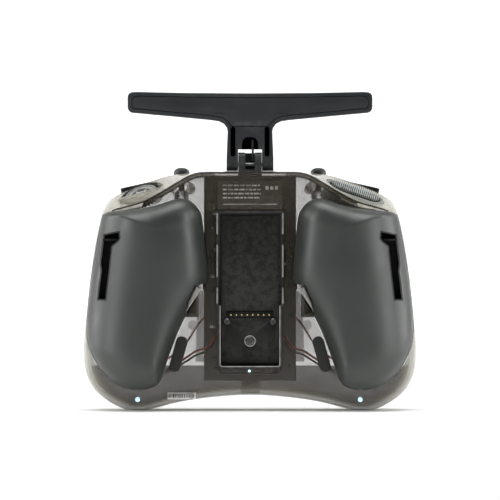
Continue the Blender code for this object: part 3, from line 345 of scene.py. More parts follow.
def clear_smoke(name, colour=(0.10, 0.085, 0.062), film=0.20, rim=0.75, edge=(0.42, 0.41, 0.34)):
    """Smoked clear plastic, less see-through at glancing angles, on dust and on scratches. At
    glancing angles its colour also turns to edge, a painted rim reflection.
    """
    if name in MADE:
        return MADE[name]
    made, tree, shader = blank(name)
    mould = use(tree, "moulding", Grain=900, Mottle=30)
    touch = use(tree, "handling", Scale=0.8)
    glance = tree.nodes.new("ShaderNodeLayerWeight")
    glance.inputs["Blend"].default_value = 0.32
    solid = maths(tree, "ADD", film, maths(tree, "MULTIPLY", glance.outputs["Facing"], rim))
    solid = maths(tree, "ADD", solid, maths(tree, "MULTIPLY", touch["Dust"], 0.02))
    solid = maths(tree, "ADD", solid, maths(tree, "MULTIPLY", touch["Scratch"], 0.05), clamp=True)
    wire(tree, solid, shader.inputs["Alpha"])
    base = blended(tree, mould["Shade"], tuple(c * 0.96 for c in colour),
                   tuple(c * 1.04 for c in colour))
    # At glancing angles the colour turns to edge; on the darker smokes this paints a lighter rim, a
    # painted reflection.
    base = blended(tree, spread(tree, glance.outputs["Facing"], 0.12, 0.6), base, edge)
    base = blended(tree, maths(tree, "MULTIPLY", touch["Dust"], 0.06), base, (0.6, 0.59, 0.55))
    wire(tree, base, shader.inputs["Base Color"])
    wire(tree, maths(tree, "ADD", 0.07, maths(tree, "MULTIPLY", touch["Smudge"], 0.07)),
         shader.inputs["Roughness"])
    shader.inputs["IOR"].default_value = 1.58
    MADE[name] = made
    return made


def grip_rubber():
    return plastic("grip_rubber", (0.024, 0.028, 0.025), rough=0.40, grain=5200, grain_depth=0.10,
                   reach=0.05,
                   worn=(0.08, 0.085, 0.08), gloss=0.6, tone=0.10)


def black_plastic():
    return plastic("black_plastic", (0.016, 0.017, 0.018), rough=0.42, grain=4200,
                   worn=(0.06, 0.06, 0.06))


def deep_black():
    return plastic("deep_black", (0.006, 0.006, 0.006), rough=0.55, grain=4200,
                   worn=(0.02, 0.02, 0.02), gloss=0.25)


# Near-black without sheen: painted shade, laid in the antenna's slits and arch for the dark inside
# them.
def shade_black():
    return plastic("shade_black", (0.0015, 0.0015, 0.0015), rough=0.85, grain=3000, gloss=0.05,
                   worn=(0.002, 0.002, 0.002))


def antenna_plastic():
    return plastic("antenna_plastic", (0.015, 0.017, 0.019), rough=0.46, grain=3400, gloss=0.42,
                   worn=(0.05, 0.052, 0.05))


def grey_plastic():
    return plastic("grey_plastic", (0.17, 0.18, 0.17), rough=0.42, grain=3600)


def rib_grey():
    return plastic("rib_grey", (0.26, 0.275, 0.265), rough=0.40, grain=3600)


def dial_grey():
    return plastic("dial_grey", (0.20, 0.205, 0.20), rough=0.38, grain=3600, worn=(0.4, 0.4, 0.39))


def bay_black():
    return plastic("bay_black", (0.013, 0.013, 0.012), rough=0.42, grain=3600,
                   worn=(0.07, 0.07, 0.066), gloss=0.4,
                   tone=0.06, smudge=0.02)


def steel():
    return plastic("machined_steel", (0.60, 0.58, 0.55), rough=0.26, grain=1500, grain_depth=0.05,
                   metal=1.0,
                   worn=(0.75, 0.74, 0.72), tone=0.1)


def dark_steel():
    return plastic("dark_anodising", (0.10, 0.10, 0.105), rough=0.30, grain=1500, grain_depth=0.05,
                   metal=1.0,
                   worn=(0.5, 0.5, 0.5), tone=0.1)


def gold():
    return plastic("gold_plate", (0.83, 0.62, 0.28), rough=0.24, grain=2600, grain_depth=0.04,
                   metal=1.0, tone=0.08)


def label_film():
    return plastic("label_film", (0.045, 0.043, 0.04), rough=0.35, grain=2200, grain_depth=0.03)


def print_white():
    return plastic("print_white", (0.62, 0.61, 0.57), rough=0.5, grain=2200, grain_depth=0.03)


def wire_red():
    return plastic("wire_red", (0.30, 0.015, 0.012), rough=0.4, grain=2600, grain_depth=0.05)


def wire_black():
    return plastic("wire_black", (0.012, 0.012, 0.012), rough=0.4, grain=2600, grain_depth=0.05)


def wire_pink():
    return plastic("wire_pink", (0.55, 0.22, 0.20), rough=0.45, grain=2600, grain_depth=0.05)


def circuit_board():
    """A dark solder mask with faint copper tracks."""
    if "circuit_board" in MADE:
        return MADE["circuit_board"]
    made, tree, shader = blank("circuit_board")
    space = object_space(tree)
    tracks = tree.nodes.new("ShaderNodeTexBrick")
    for title, value in (("Scale", 420), ("Mortar Size", 0.03), ("Row Height", 0.35),
                         ("Brick Width", 1.7)):
        tracks.inputs[title].default_value = value
    turn = tree.nodes.new("ShaderNodeMapping")
    turn.inputs["Rotation"].default_value = (math.radians(90), 0, 0)
    wire(tree, space, turn.inputs["Vector"])
    wire(tree, turn.outputs[0], tracks.inputs["Vector"])
    mould = use(tree, "moulding", Grain=2400, Mottle=90)
    base = blended(tree, tracks.outputs["Fac"], (0.010, 0.009, 0.007), (0.017, 0.015, 0.011))
    base = blended(tree, maths(tree, "MULTIPLY", mould["Shade"], 0.4), base, (0.013, 0.012, 0.010))
    wire(tree, base, shader.inputs["Base Color"])
    wire(tree, spread(tree, mould["Shade"], 0, 1, 0.32, 0.45), shader.inputs["Roughness"])
    bump(tree, shader, tracks.outputs["Fac"], 0.06, 0.00003)
    MADE["circuit_board"] = made
    return made


def cell_wrap():
    return plastic("cell_wrap", (0.03, 0.16, 0.22), rough=0.28, grain=900, grain_depth=0.04)


def screen_glass():
    made, tree, shader = blank("screen_glass")
    touch = use(tree, "handling", Scale=1.0)
    wire(tree, maths(tree, "ADD", 0.35, maths(tree, "MULTIPLY", touch["Dust"], 0.3), clamp=True),
         shader.inputs["Alpha"])
    wire(tree, blended(tree, touch["Smudge"], (0.012, 0.013, 0.014), (0.02, 0.021, 0.022)),
         shader.inputs["Base Color"])
    wire(tree, spread(tree, touch["Smudge"], 0, 1, 0.03, 0.12), shader.inputs["Roughness"])
    return made


def screen_film():
    """The lit panel of the screen, with its faint grid of dots."""
    made, tree, shader = blank("screen_film")
    grid = tree.nodes.new("ShaderNodeTexChecker")
    grid.inputs["Scale"].default_value = 3000
    wire(tree, object_space(tree), grid.inputs["Vector"])
    base = blended(tree, grid.outputs["Fac"], (0.33, 0.40, 0.36), (0.37, 0.44, 0.40))
    wire(tree, base, shader.inputs["Base Color"])
    shader.inputs["Roughness"].default_value = 0.35
    return made


# ---------------------------------------------------------------- mesh tools
def settled(obj):
    """The object's evaluated mesh, kept, with its modifiers removed."""
    bpy.context.view_layer.update()
    graph = bpy.context.evaluated_depsgraph_get()
    mesh = bpy.data.meshes.new_from_object(obj.evaluated_get(graph))
    obj.modifiers.clear()
    obj.data = mesh
    return obj


def raw(name, bm, recalc=True):
    """An object from a bmesh in millimetres."""
    bmesh.ops.scale(bm, vec=(MM, MM, MM), verts=bm.verts)
    bmesh.ops.remove_doubles(bm, verts=bm.verts, dist=2e-6)
    if recalc:
        bmesh.ops.recalc_face_normals(bm, faces=bm.faces)
    mesh = bpy.data.meshes.new(name)
    bm.to_mesh(mesh)
    bm.free()
    obj = bpy.data.objects.new(name, mesh)
    bpy.context.scene.collection.objects.link(obj)
    return obj


def combine(obj, others, how):
    for other in others:
        step = obj.modifiers.new("cut", "BOOLEAN")
        step.operation, step.solver, step.object = how, "EXACT", other
        settled(obj)
        bpy.data.objects.remove(other)
    return obj


def cut(obj, *others):
    return combine(obj, others, "DIFFERENCE")


def join(obj, *others):
    return combine(obj, others, "UNION")


def common(obj, *others):
    return combine(obj, others, "INTERSECT")


def softened(obj, width, segments=2, angle=35):
    """Rounds the object's sharp edges by width millimetres."""
    step = obj.modifiers.new("round", "BEVEL")
    step.width, step.segments, step.limit_method = width * MM, segments, "ANGLE"
    step.angle_limit, step.harden_normals = math.radians(angle), False
    return settled(obj)


def finished(obj, finish, body, stands_for=(), smooth=32):
    """Names the piece's finish, its body and the CAD nodes it stands for."""
    mesh = obj.data
    mesh.materials.clear()
    for made in finish if isinstance(finish, (list, tuple)) else [finish]:
        mesh.materials.append(made)
    if smooth is not None:
        mesh.shade_smooth()
        mesh.set_sharp_from_angle(angle=math.radians(smooth))
    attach(obj, body)
    if stands_for:
        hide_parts(*stands_for)
    return obj


def box(name, x, y, z):
    bm = bmesh.new()
    corners = [bm.verts.new((a, b, c)) for a in x for b in y for c in z]
    for ring in ((0, 1, 3, 2), (4, 6, 7, 5), (0, 4, 5, 1), (2, 3, 7, 6), (0, 2, 6, 4),
                 (1, 5, 7, 3)):
        bm.faces.new([corners[k] for k in ring])
    return raw(name, bm)


def prism(name, edge, y):
    bm = bmesh.new()
    rings = [[bm.verts.new((px, depth, pz)) for px, pz in edge] for depth in y]
    bm.faces.new(rings[0])
    bm.faces.new(rings[1][::-1])
    for k in range(len(edge)):
        n = (k + 1) % len(edge)
        bm.faces.new((rings[0][k], rings[1][k], rings[1][n], rings[0][n]))
    return raw(name, bm)


def frame_matrix(origin, axis, side=None):
    up = Vector(axis).normalized()
    hint = Vector(side) if side is not None else Vector((1, 0, 0))
    if abs(up.dot(hint.normalized())) > 0.99:
        hint = Vector((0, 1, 0))
    across = (hint - up * hint.dot(up)).normalized()
    turn = Matrix((across, up.cross(across), up)).transposed().to_4x4()
    return Matrix.Translation(origin) @ turn


def turned(name, profile, origin, axis, sides=48, side=None):
    """A solid of revolution from (radius, height) points, its height along axis from origin."""
    bm = bmesh.new()
    rings = []
    for radius, height in profile:
        if radius < 1e-6:
            rings.append([bm.verts.new((0, 0, height))])
            continue
        turns = [2 * math.pi * k / sides for k in range(sides)]
        rings.append([bm.verts.new((radius * math.cos(a), radius * math.sin(a),
                                    height)) for a in turns])
    for low, high in zip(rings, rings[1:]):
        for k in range(sides):
            n = (k + 1) % sides
            quad = [low[k % len(low)], low[n % len(low)], high[n % len(high)], high[k % len(high)]]
            quad = [v for i, v in enumerate(quad) if v not in quad[:i]]
            if len(quad) > 2:
                bm.faces.new(quad)
    for ring, end in ((rings[0], True), (rings[-1], False)):
        if len(ring) > 2:
            bm.faces.new(ring[::-1] if end else ring)
    bmesh.ops.transform(bm, matrix=frame_matrix(origin, axis, side), verts=bm.verts)
    return raw(name, bm)


def cylinder(name, radius, start, end, sides=40):
    start, end = Vector(start), Vector(end)
    return turned(name, [(radius, 0), (radius, (end - start).length)], start, end - start, sides)


def slab(name, outline, low, high, place):
    bm = bmesh.new()
    rings = [[bm.verts.new((px, py, height)) for px, py in outline] for height in (low, high)]
    bm.faces.new(rings[0][::-1])
    bm.faces.new(rings[1])
    for k in range(len(outline)):
        n = (k + 1) % len(outline)
        bm.faces.new((rings[0][k], rings[0][n], rings[1][n], rings[1][k]))
    bmesh.ops.transform(bm, matrix=place, verts=bm.verts)
    return raw(name, bm)


def lofted(name, sections, place):
    """A solid through (outline, height) sections of the same count, placed by place."""
    bm = bmesh.new()
    rings = [[bm.verts.new((px, py, height)) for px, py in outline] for outline, height in sections]
    bm.faces.new(rings[0][::-1])
    bm.faces.new(rings[-1])
    for low, high in zip(rings, rings[1:]):
        for k in range(len(low)):
            n = (k + 1) % len(low)
            bm.faces.new((low[k], low[n], high[n], high[k]))
    bmesh.ops.transform(bm, matrix=place, verts=bm.verts)
    return raw(name, bm)


def rounded(half_x, half_y, radius, steps=8):
    points = []
    for quarter in range(4):
        sx, sy = ((1, 1), (-1, 1), (-1, -1), (1, -1))[quarter]
        middle = (sx * (half_x - radius), sy * (half_y - radius))
        for k in range(steps + 1):
            angle = math.pi / 2 * (quarter + k / steps)
            points.append((middle[0] + radius * math.cos(angle),
                           middle[1] + radius * math.sin(angle)))
    return points


def pill(name, centre, half_long, half_wide, low, high, along, axis, steps=10):
    return slab(name, rounded(half_long, half_wide, half_wide - 0.01, steps), low, high,
                frame_matrix(centre, axis, along))


def pill_cap(name, centre, half_long, half_wide, low, high, crown, along, axis, steps=10):
    """A pill with a rounded, slightly crowned top."""
    sections = [(rounded(half_long, half_wide, half_wide - 0.01, steps), low)]
    for k in range(7):
        a = math.pi / 2 * k / 6
        shrink = crown * (1 - math.cos(a))
        sections.append((rounded(half_long - shrink, half_wide - shrink, half_wide - shrink - 0.005,
                                 steps),
                         high - crown * 0.8 + crown * 0.8 * math.sin(a)))
    return lofted(name, sections, frame_matrix(centre, axis, along))


def mirror_x(vector, side):
    return Vector((vector.x * side, vector.y, vector.z))


def smooth_loop(points, steps):
    count = len(points)
    made = []
    for i in range(count):
        a, b, c, d = (Vector(points[(i + k) % count]) for k in (-1, 0, 1, 2))
        for s in range(steps):
            t = s / steps
            made.append(0.5 * (2 * b + (c - a) * t + (2 * a - 5 * b + 4 * c - d) * t * t
                               + (3 * b - a - 3 * c + d) * t ** 3))
    return made


def tube(name, points, radius, finish, body):
    """A round wire along a smooth path."""
    data = bpy.data.curves.new(name, "CURVE")
    data.dimensions, data.use_fill_caps = "3D", True
    data.bevel_depth, data.bevel_resolution = radius * MM, 4
    spline = data.splines.new("NURBS")
    spline.points.add(len(points) - 1)
    for knot, place in zip(spline.points, points):
        knot.co = (*[c * MM for c in place], 1)
    spline.order_u, spline.use_endpoint_u, spline.resolution_u = 4, True, 8
    curve = bpy.data.objects.new(name, data)
    bpy.context.scene.collection.objects.link(curve)
    bpy.context.view_layer.update()
    graph = bpy.context.evaluated_depsgraph_get()
    mesh = bpy.data.meshes.new_from_object(curve.evaluated_get(graph))
    bpy.data.objects.remove(curve)
    obj = bpy.data.objects.new(name, mesh)
    bpy.context.scene.collection.objects.link(obj)
    return finished(obj, finish, body, smooth=40)


# ---------------------------------------------------------------- repeated details
def geometry_tree(name, inputs):
    tree = bpy.data.node_groups.new(name, "GeometryNodeTree")
    for title, kind, value in inputs:
        tree.interface.new_socket(name=title, in_out="INPUT",
                                  socket_type=kind).default_value = value
    tree.interface.new_socket(name="Mesh", in_out="OUTPUT", socket_type="NodeSocketGeometry")
    return tree, tree.nodes.new("NodeGroupInput"), tree.nodes.new("NodeGroupOutput")


def close_tree(tree, points, block, rotation, end, finish):
    """Blocks on points, made real and given their finish."""
    place = tree.nodes.new("GeometryNodeInstanceOnPoints")
    real = tree.nodes.new("GeometryNodeRealizeInstances")
    paint = tree.nodes.new("GeometryNodeSetMaterial")
    paint.inputs["Material"].default_value = finish
    wire(tree, points, place.inputs["Points"])
    wire(tree, block, place.inputs["Instance"])
    if rotation:
        wire(tree, rotation, place.inputs["Rotation"])
    wire(tree, place.outputs[0], real.inputs[0])
    wire(tree, real.outputs[0], paint.inputs[0])
    wire(tree, paint.outputs[0], end.inputs[0])


def grown_from(name, tree, place):
    """Runs a geometry tree on an empty mesh and puts the plain result in place."""
    obj = bpy.data.objects.new(name, bpy.data.meshes.new(name))
    bpy.context.scene.collection.objects.link(obj)
    obj.modifiers.new("grow", "NODES").node_group = tree
    settled(obj)
    scaled = Matrix.Diagonal((MM, MM, MM, 1))
    obj.data.transform(scaled @ place)
    return obj


def row_of_blocks(name, size, count, step, place, finish):
    """A straight row of blocks, centred on place."""
    tree, start, end = geometry_tree(name,
                                     [("Size", "NodeSocketVector", size),
                                      ("Count", "NodeSocketInt", count),
                                            ("Step", "NodeSocketVector", step)])
    line = tree.nodes.new("GeometryNodeMeshLine")
    wire(tree, start.outputs["Count"], line.inputs["Count"])
    wire(tree, start.outputs["Step"], line.inputs["Offset"])
    line.inputs["Start Location"].default_value = tuple(-c * (count - 1) / 2 for c in step)
    block = tree.nodes.new("GeometryNodeMeshCube")
    wire(tree, start.outputs["Size"], block.inputs["Size"])
    close_tree(tree, line.outputs[0], block.outputs["Mesh"], None, end, finish)
    return grown_from(name, tree, place)


def ring_of_blocks(name, size, count, radius, place, finish):
    """Blocks spaced round a circle, each turned to face out."""
    tree, start, end = geometry_tree(name,
                                     [("Size", "NodeSocketVector", size),
                                      ("Count", "NodeSocketInt", count),
                                            ("Radius", "NodeSocketFloat", radius)])
    ring = tree.nodes.new("GeometryNodeMeshCircle")
    wire(tree, start.outputs["Count"], ring.inputs["Vertices"])
    wire(tree, start.outputs["Radius"], ring.inputs["Radius"])
    block = tree.nodes.new("GeometryNodeMeshCube")
    wire(tree, start.outputs["Size"], block.inputs["Size"])
    where = tree.nodes.new("GeometryNodeInputPosition")
    turn = tree.nodes.new("FunctionNodeAlignRotationToVector")
    turn.axis = "X"
    wire(tree, where.outputs[0], turn.inputs["Vector"])
    close_tree(tree, ring.outputs[0], block.outputs["Mesh"], turn.outputs[0], end, finish)
    return grown_from(name, tree, place)


# ---------------------------------------------------------------- case shells
def inward(loop, distance):
    count = len(loop)
    made = []
    for i in range(count):
        along = loop[(i + 1) % count] - loop[i - 1]
        side = Vector((along[1], -along[0])).normalized()
        if abs(loop[i][0]) <= 1:
            side = Vector((0, 1 if loop[i][1] < CENTRE_Z else -1))
        elif side.dot(Vector((0, CENTRE_Z)) - loop[i]) < 0:
            side = -side
        made.append(loop[i] + side * distance)
    return made


def case_loops(inset, steps=4):
    back = [((-s[0], s[1]), (-r[0], r[1]), y, w) for s, r, y, w in STATIONS[-2:0:-1]]
    rows = smooth_loop([(*s, *r, y, w) for s, r, y, w in STATIONS + back], steps)
    silhouette = inward([Vector((p[0], p[1])) for p in rows], inset)
    plate = inward([Vector((p[2], p[3])) for p in rows], inset)
    return silhouette, plate, [p[4] for p in rows], [min(1, max(0, p[5])) for p in rows]


def rear_rings(inset, steps=14):
    silhouette, plate, parting, straight = case_loops(inset)
    plate_y = PLATE_Y + inset
    rings = []
    for k in range(steps + 1):
        angle = math.pi / 2 * k / steps
        ring = []
        for s, r, y, w in zip(silhouette, plate, parting, straight):
            out = math.sin(angle) * (1 - w) + k / steps * w
            deep = (1 - math.cos(angle)) * (1 - w) + k / steps * w
            at = r.lerp(s, out)
            ring.append(Vector((at[0], plate_y + (y - plate_y) * deep, at[1])))
        rings.append(ring)
    return rings


def front_rings(inset, steps=10):
    silhouette, _, parting, _ = case_loops(inset)
    face = inward(silhouette, FACE_INSET)
    face_y = FACE_Y - inset
    rings = []
    for k in range(steps + 1):
        angle = math.pi / 2 * k / steps
        ring = []
        for s, f, y in zip(silhouette, face, parting):
            at = f.lerp(s, math.cos(angle))
            ring.append(Vector((at[0], y + (face_y - y) * math.sin(angle), at[1])))
        rings.append(ring)
    return rings


def ringed_solid(name, rings, cap_first, cap_last):
    bm = bmesh.new()
    made = [[bm.verts.new(p) for p in ring] for ring in rings]
    count = len(made[0])
    for low, high in zip(made, made[1:]):
        for k in range(count):
            n = (k + 1) % count
            bm.faces.new((low[k], low[n], high[n], high[k]))
    for ring, cap in ((made[0], cap_first), (made[-1], cap_last)):
        if cap is None:
            bm.faces.new(ring)
            continue
        middle = bm.verts.new(cap)
        for k in range(count):
            bm.faces.new((ring[k], ring[(k + 1) % count], middle))
    return raw(name, bm)


def push_hole(side):
    axis = mirror_x(PUSH_AXIS, side)
    return pill("push", mirror_x(PUSH_CENTRE, side), 9.1, 2.9, -12, 12,
                axis.cross(Vector((0, 1, 0))), axis)


def bay_box(name, grow, y, bottom=BAY_BOTTOM):
    upper = box(name, (-BAY_HALF_UPPER - grow, BAY_HALF_UPPER + grow), y,
                (BAY_STEP - grow, BAY_TOP + grow))
    lower = box("lower", (-BAY_HALF_LOWER - grow, BAY_HALF_LOWER + grow), y,
                (bottom - grow, BAY_STEP + 5))
    return join(upper, lower)


SCREEN_Z, SCREEN_HALF_X, SCREEN_HALF_Z = 87.0, 18.0, 11.0
BUTTONS = {
    "power_button": (0, 37.0, 4.2), "menu_button": (-10.5, 66, 3.2),
    "model_button": (-10.5, 56.5, 3.2),
    "page_button": (-10.5, 47, 3.2), "telemetry_button": (10.5, 47, 3.2),
    "return_button": (10.5, 56.5, 3.2),
}
ROLLER = Vector((10.5, 8.4, 67.0))
TRIMS = {
    "trim_left_level": (-44.5, 36.8, True), "trim_right_level": (44.5, 36.8, True),
    "trim_left_upright": (-20.2, 64, False), "trim_right_upright": (20.2, 64, False),
}
TOGGLE_X, TOGGLE_PIVOT, TOGGLE_TIP = 32.3, Vector((0, 7.5, 99.4)), Vector((0, 13.6, 109.97))
POSTS = [(-27.5, 103.0), (27.5, 103.0), (-26.5, 40.0), (26.5, 40.0), (-30, 13.6), (30, 13.6),
         (-18.2, 95), (18.2, 95)]


def grip_well(side):
    """A straight-sided well for a cover, from under its rim out through the rear."""
    rays = grip_rays(side, GAP)
    bm = bmesh.new()
    rows = [[bm.verts.new((ray[1][0], CREST_Y - 8, ray[1][1])) for ray in rays],
            [bm.verts.new((ray[1][0], ray[2] + 2.4, ray[1][1])) for ray in rays]]
    ends = [bm.verts.new((side * 46, CREST_Y - 8, 55)), bm.verts.new((side * 46, -12.0, 55))]
    for k in range(len(rays)):
        n = (k + 1) % len(rays)
        bm.faces.new((rows[0][k], rows[0][n], rows[1][n], rows[1][k]))
        for row, end in zip(rows, ends):
            bm.faces.new((row[k], row[n], end))
    return raw("grip_well", bm)


def half_disc(name, reach, way, low, high):
    """Half of a disc about the dial's axis: way 1 is the upper half, -1 the lower."""
    turns = [math.pi * k / 32 for k in range(33)]
    outline = [(reach * math.cos(a), way * reach * math.sin(a) - 0.8) for a in turns]
    return slab(name, outline, low, high, frame_matrix(WHEEL_CENTRE, DIAL_AXIS, (1, 0, 0)))


def dial_opening():
    reach = WHEEL_R + 0.5
    room = turned("room", [(reach, -WHEEL_HALF - 0.4), (reach, WHEEL_HALF + 0.8)], WHEEL_CENTRE,
                  DIAL_AXIS, 64)
    return join(room, half_disc("mouth", reach + 1.9, 1, -1.6, 12.0))


def rear_case():
    rings = rear_rings(0)
    rings = rings[:-1] + [[p + Vector((0, -GAP, 0)) for p in rings[-1]]]
    middle = Vector((0, 1, CENTRE_Z))
    shell = ringed_solid("rear_case", rings, None, middle)
    inside = ringed_solid("inside", rear_rings(WALL) + front_rings(WALL)[1:], None, None)
    cut(shell, inside)
    hood = half_disc("hood", WHEEL_R + 1.6, -1, -WHEEL_HALF, WHEEL_HALF + 1.4)
    join(shell, softened(hood, 0.5, 3))
    for side in (LEFT, RIGHT):
        cut(shell, grip_well(side))
        place = mirror_x(PAD_CENTRE, side) + Vector((0, PLATE_Y, 0))
        cut(shell, pill("pad", place, 8.8, 3.0, -1.1, 3, mirror_x(PAD_ALONG, side), (0, -1, 0)))
    cut(shell, bay_box("bay", BAY_WALL + GAP, (-30, -12)),
        box("hinge", (-5.65, 5.65), (HINGE_Y - 4, HINGE_Y + 4), (105, 118)),
        pill("button", MOMENTARY_CENTRE, 14.6, 6.6, -12, 12, SLOPE_ALONG, SLOPE_NORMAL),
        dial_opening(),
        box("feet", (-80, 80), (-40, 40), (-10, 0)), push_hole(LEFT), push_hole(RIGHT))
    return finished(shell, clear_smoke("rear_smoke"), "case", ["rear_shell"], smooth=28)


def front_case():
    rings = front_rings(0)
    rings[0] = [p + Vector((0, GAP / 2, 0)) for p in rings[0]]
    shell = ringed_solid("front_case", rings, Vector((0, 1, CENTRE_Z)), None)
    cut(shell, ringed_solid("inside", rear_rings(WALL) + front_rings(WALL)[1:], None, None))
    cut(shell, box("feet", (-80, 80), (-40, 40), (-10, 0)))
    for side in (LEFT, RIGHT):
        cut(shell,
            cylinder("gimbal", 17.4, (side * STICK_X, 4, STICK_Z), (side * STICK_X, 20, STICK_Z),
                     64))
    cut(shell, box("screen", (-SCREEN_HALF_X - 1.3, SCREEN_HALF_X + 1.3), (4, 20),
                   (SCREEN_Z - SCREEN_HALF_Z - 1.3, SCREEN_Z + SCREEN_HALF_Z + 1.3)))
    for x, z, r in BUTTONS.values():
        cut(shell, cylinder("button", r + GAP, (x, 4, z), (x, 20, z), 40))
    cut(shell,
        box("roller", (ROLLER.x - 2.6, ROLLER.x + 2.6), (4, 20), (ROLLER.z - 5.4, ROLLER.z + 5.4)))
    for x, z, level in TRIMS.values():
        half = (8.3, 2.6) if level else (2.6, 8.3)
        cut(shell, box("trim", (x - half[0], x + half[0]), (4, 20), (z - half[1], z + half[1])))
    for k in range(5):
        cut(shell, box("grille", (-9, 9), (4, 20), (17.1 + k * 2.4, 18.3 + k * 2.4)))
    lever = (TOGGLE_TIP - TOGGLE_PIVOT).normalized()
    for side in (LEFT, RIGHT):
        base = TOGGLE_PIVOT + Vector((side * TOGGLE_X, 0, 0))
        cut(shell, cylinder("toggle", 4.0, base - lever * 2, base + lever * 12), push_hole(side))
    cut(shell, pill("usb", Vector((0, 6.0, 6.4)), 4.9, 2.0, -10, 10, (1, 0, 0), (0, 0, 1)))
    tinted = clear_smoke("front_smoke", (0.20, 0.178, 0.138), 0.36, 0.5, (0.33, 0.32, 0.265))
    return finished(shell, tinted, "case", ["front_shell"], smooth=28)


def ribbon(name, points, half_wide, low, high, finish, body="case"):
    """A strip of even section along a path of (x, z) points, standing from y low to y high."""
    bm = bmesh.new()
    rows = []
    for i, here in enumerate(points):
        along = (Vector(points[min(i + 1, len(points) - 1)]) - Vector(points[max(i - 1,
                                                                                 0)])).normalized()
        side = Vector((along[1], -along[0])) * half_wide
        here = Vector(here)
        mid = (low + high) / 2
        section = [(here + side, mid), (here + side * 0.6, high), (here - side * 0.6, high),
                   (here - side, mid),
                   (here - side * 0.6, low), (here + side * 0.6, low)]
        rows.append([bm.verts.new((p[0], y, p[1])) for p, y in section])
    for low_row, high_row in zip(rows, rows[1:]):
        for k in range(6):
            n = (k + 1) % 6
            bm.faces.new((low_row[k], low_row[n], high_row[n], high_row[k]))
    bm.faces.new(rows[0])
    bm.faces.new(rows[-1][::-1])
    return finished(raw(name, bm), finish, body, smooth=50)


def plate_ridge():
    """Two dark beads where the rear plate meets the shoulders, with a dark web between them that is
    painted shade, and a light strip beside each that is a painted highlight.
    """
    _, plate, _, _ = case_loops(0)
    pairs = [(p, q) for p, q in zip(plate, inward(plate, 1.75)) if p[1] > 92.5]
    pairs.sort(key=lambda pair: pair[0][0])
    ribbon("plate_ridge", [tuple(p) for p, _ in pairs], 0.5, -17.3, -16.2, dark_smoke())
    lower = [tuple(q) for _, q in pairs if abs(q[0]) < 43.2]
    ribbon("plate_ridge_low", lower, 0.42, -17.25, -16.8, dark_smoke())
    for side in (LEFT, RIGHT):
        upper = sorted((abs(p[0]), p[1]) for p, _ in pairs if 16 < side * p[0] < 48.8)
        under = sorted((abs(x), z) for x, z in lower if 16 < side * x)
        edge = [(x, z - 0.3) for x, z in upper] + [(48.4, 95.8)] + under[::-1]
        # The web is painted shade: a dark smoked sheet between the beads, where the shell lies in
        # shade.
        web = prism(f"ridge_shade_web_{LABELS[side]}", [(side * x, z) for x, z in edge][::side],
                    (-17.14, -16.9))
        finished(web, clear_smoke("web_shade_smoke", (0.10, 0.085, 0.065), 0.55, 0.3, (0.12, 0.10, 0.08)),
                 "case")
        # The strip is a painted highlight: a light beige band standing in for the shoulder's
        # highlight beside the ridge.
        strip = [(49.6, 96.9), (58, 94.5), (63.9, 93.0), (63.9, 92.1), (57.5, 93.7), (50.4, 94.9)]
        strip = prism(f"ridge_highlight_strip_{LABELS[side]}", [(side * x, z) for x, z in strip][::side],
                      (-17.2, -16.9))
        finished(softened(strip, 0.08), plastic("highlight_beige", (0.56, 0.52, 0.45), rough=0.35),
                 "case")


def dark_smoke():
    return clear_smoke("dark_smoke", (0.030, 0.026, 0.021), 0.72, 0.28, (0.06, 0.055, 0.045))


def screw_posts():
    made = None
    for x, z in POSTS:
        post = turned("post", [(2.3, 0), (1.9, 5.0), (1.1, 5.0), (1.1, 1.2), (0, 1.2)],
                      (x, -14.9, z), (0, 1, 0), 28)
        made = join(made, post) if made else post
    made.name = made.data.name = "screw_posts"
    return finished(made,
                    clear_smoke("post_smoke", (0.12, 0.105, 0.082), 0.25, 0.4, (0.2, 0.18, 0.15)),
                    "case")


# ---------------------------------------------------------------- grips
def grip_rays(side, grow=0.0, spans=36, fans=44):
    """Pairs of (foot on the crest line, tip on the cover's edge), in order round the cover."""
    edge = smooth_loop([Vector(p) for p in GRIP_EDGE], 6)
    top, bottom = (Vector(p) for p in GRIP_SPINE)
    down = (bottom - top).normalized()
    across = Vector((down[1], -down[0]))
    starts = []
    for k in range(1, spans):
        starts.append((top.lerp(bottom, k / spans), across))
    for k in range(fans + 1):
        a = math.pi * k / fans
        starts.append((bottom, across * math.cos(a) + down * math.sin(a)))
    for k in range(spans - 1, 0, -1):
        starts.append((top.lerp(bottom, k / spans), -across))
    for k in range(fans + 1):
        a = math.pi * k / fans
        starts.append((top, -across * math.cos(a) - down * math.sin(a)))
    rays = []
    count = len(edge)
    for foot, way in starts:
        best = None
        for i in range(count):
            p, q = edge[i], edge[(i + 1) % count]
            a, b = Vector((p[0], p[1])), Vector((q[0], q[1]))
            span = b - a
            size = way[0] * span[1] - way[1] * span[0]
            if abs(size) < 1e-9:
                continue
            off = a - foot
            reach = (off[0] * span[1] - off[1] * span[0]) / size
            share = (off[0] * way[1] - off[1] * way[0]) / size
            if reach > 0 and -1e-6 <= share <= 1 + 1e-6 and (best is None or reach > best[0]):
                best = (reach, p[2] + (q[2] - p[2]) * share)
        tip = foot + way * (best[0] + grow)
        rays.append((Vector((-side * foot[0], foot[1])), Vector((-side * tip[0], tip[1])), best[1],
                     abs(way.dot(down)) ** 2))
    return rays


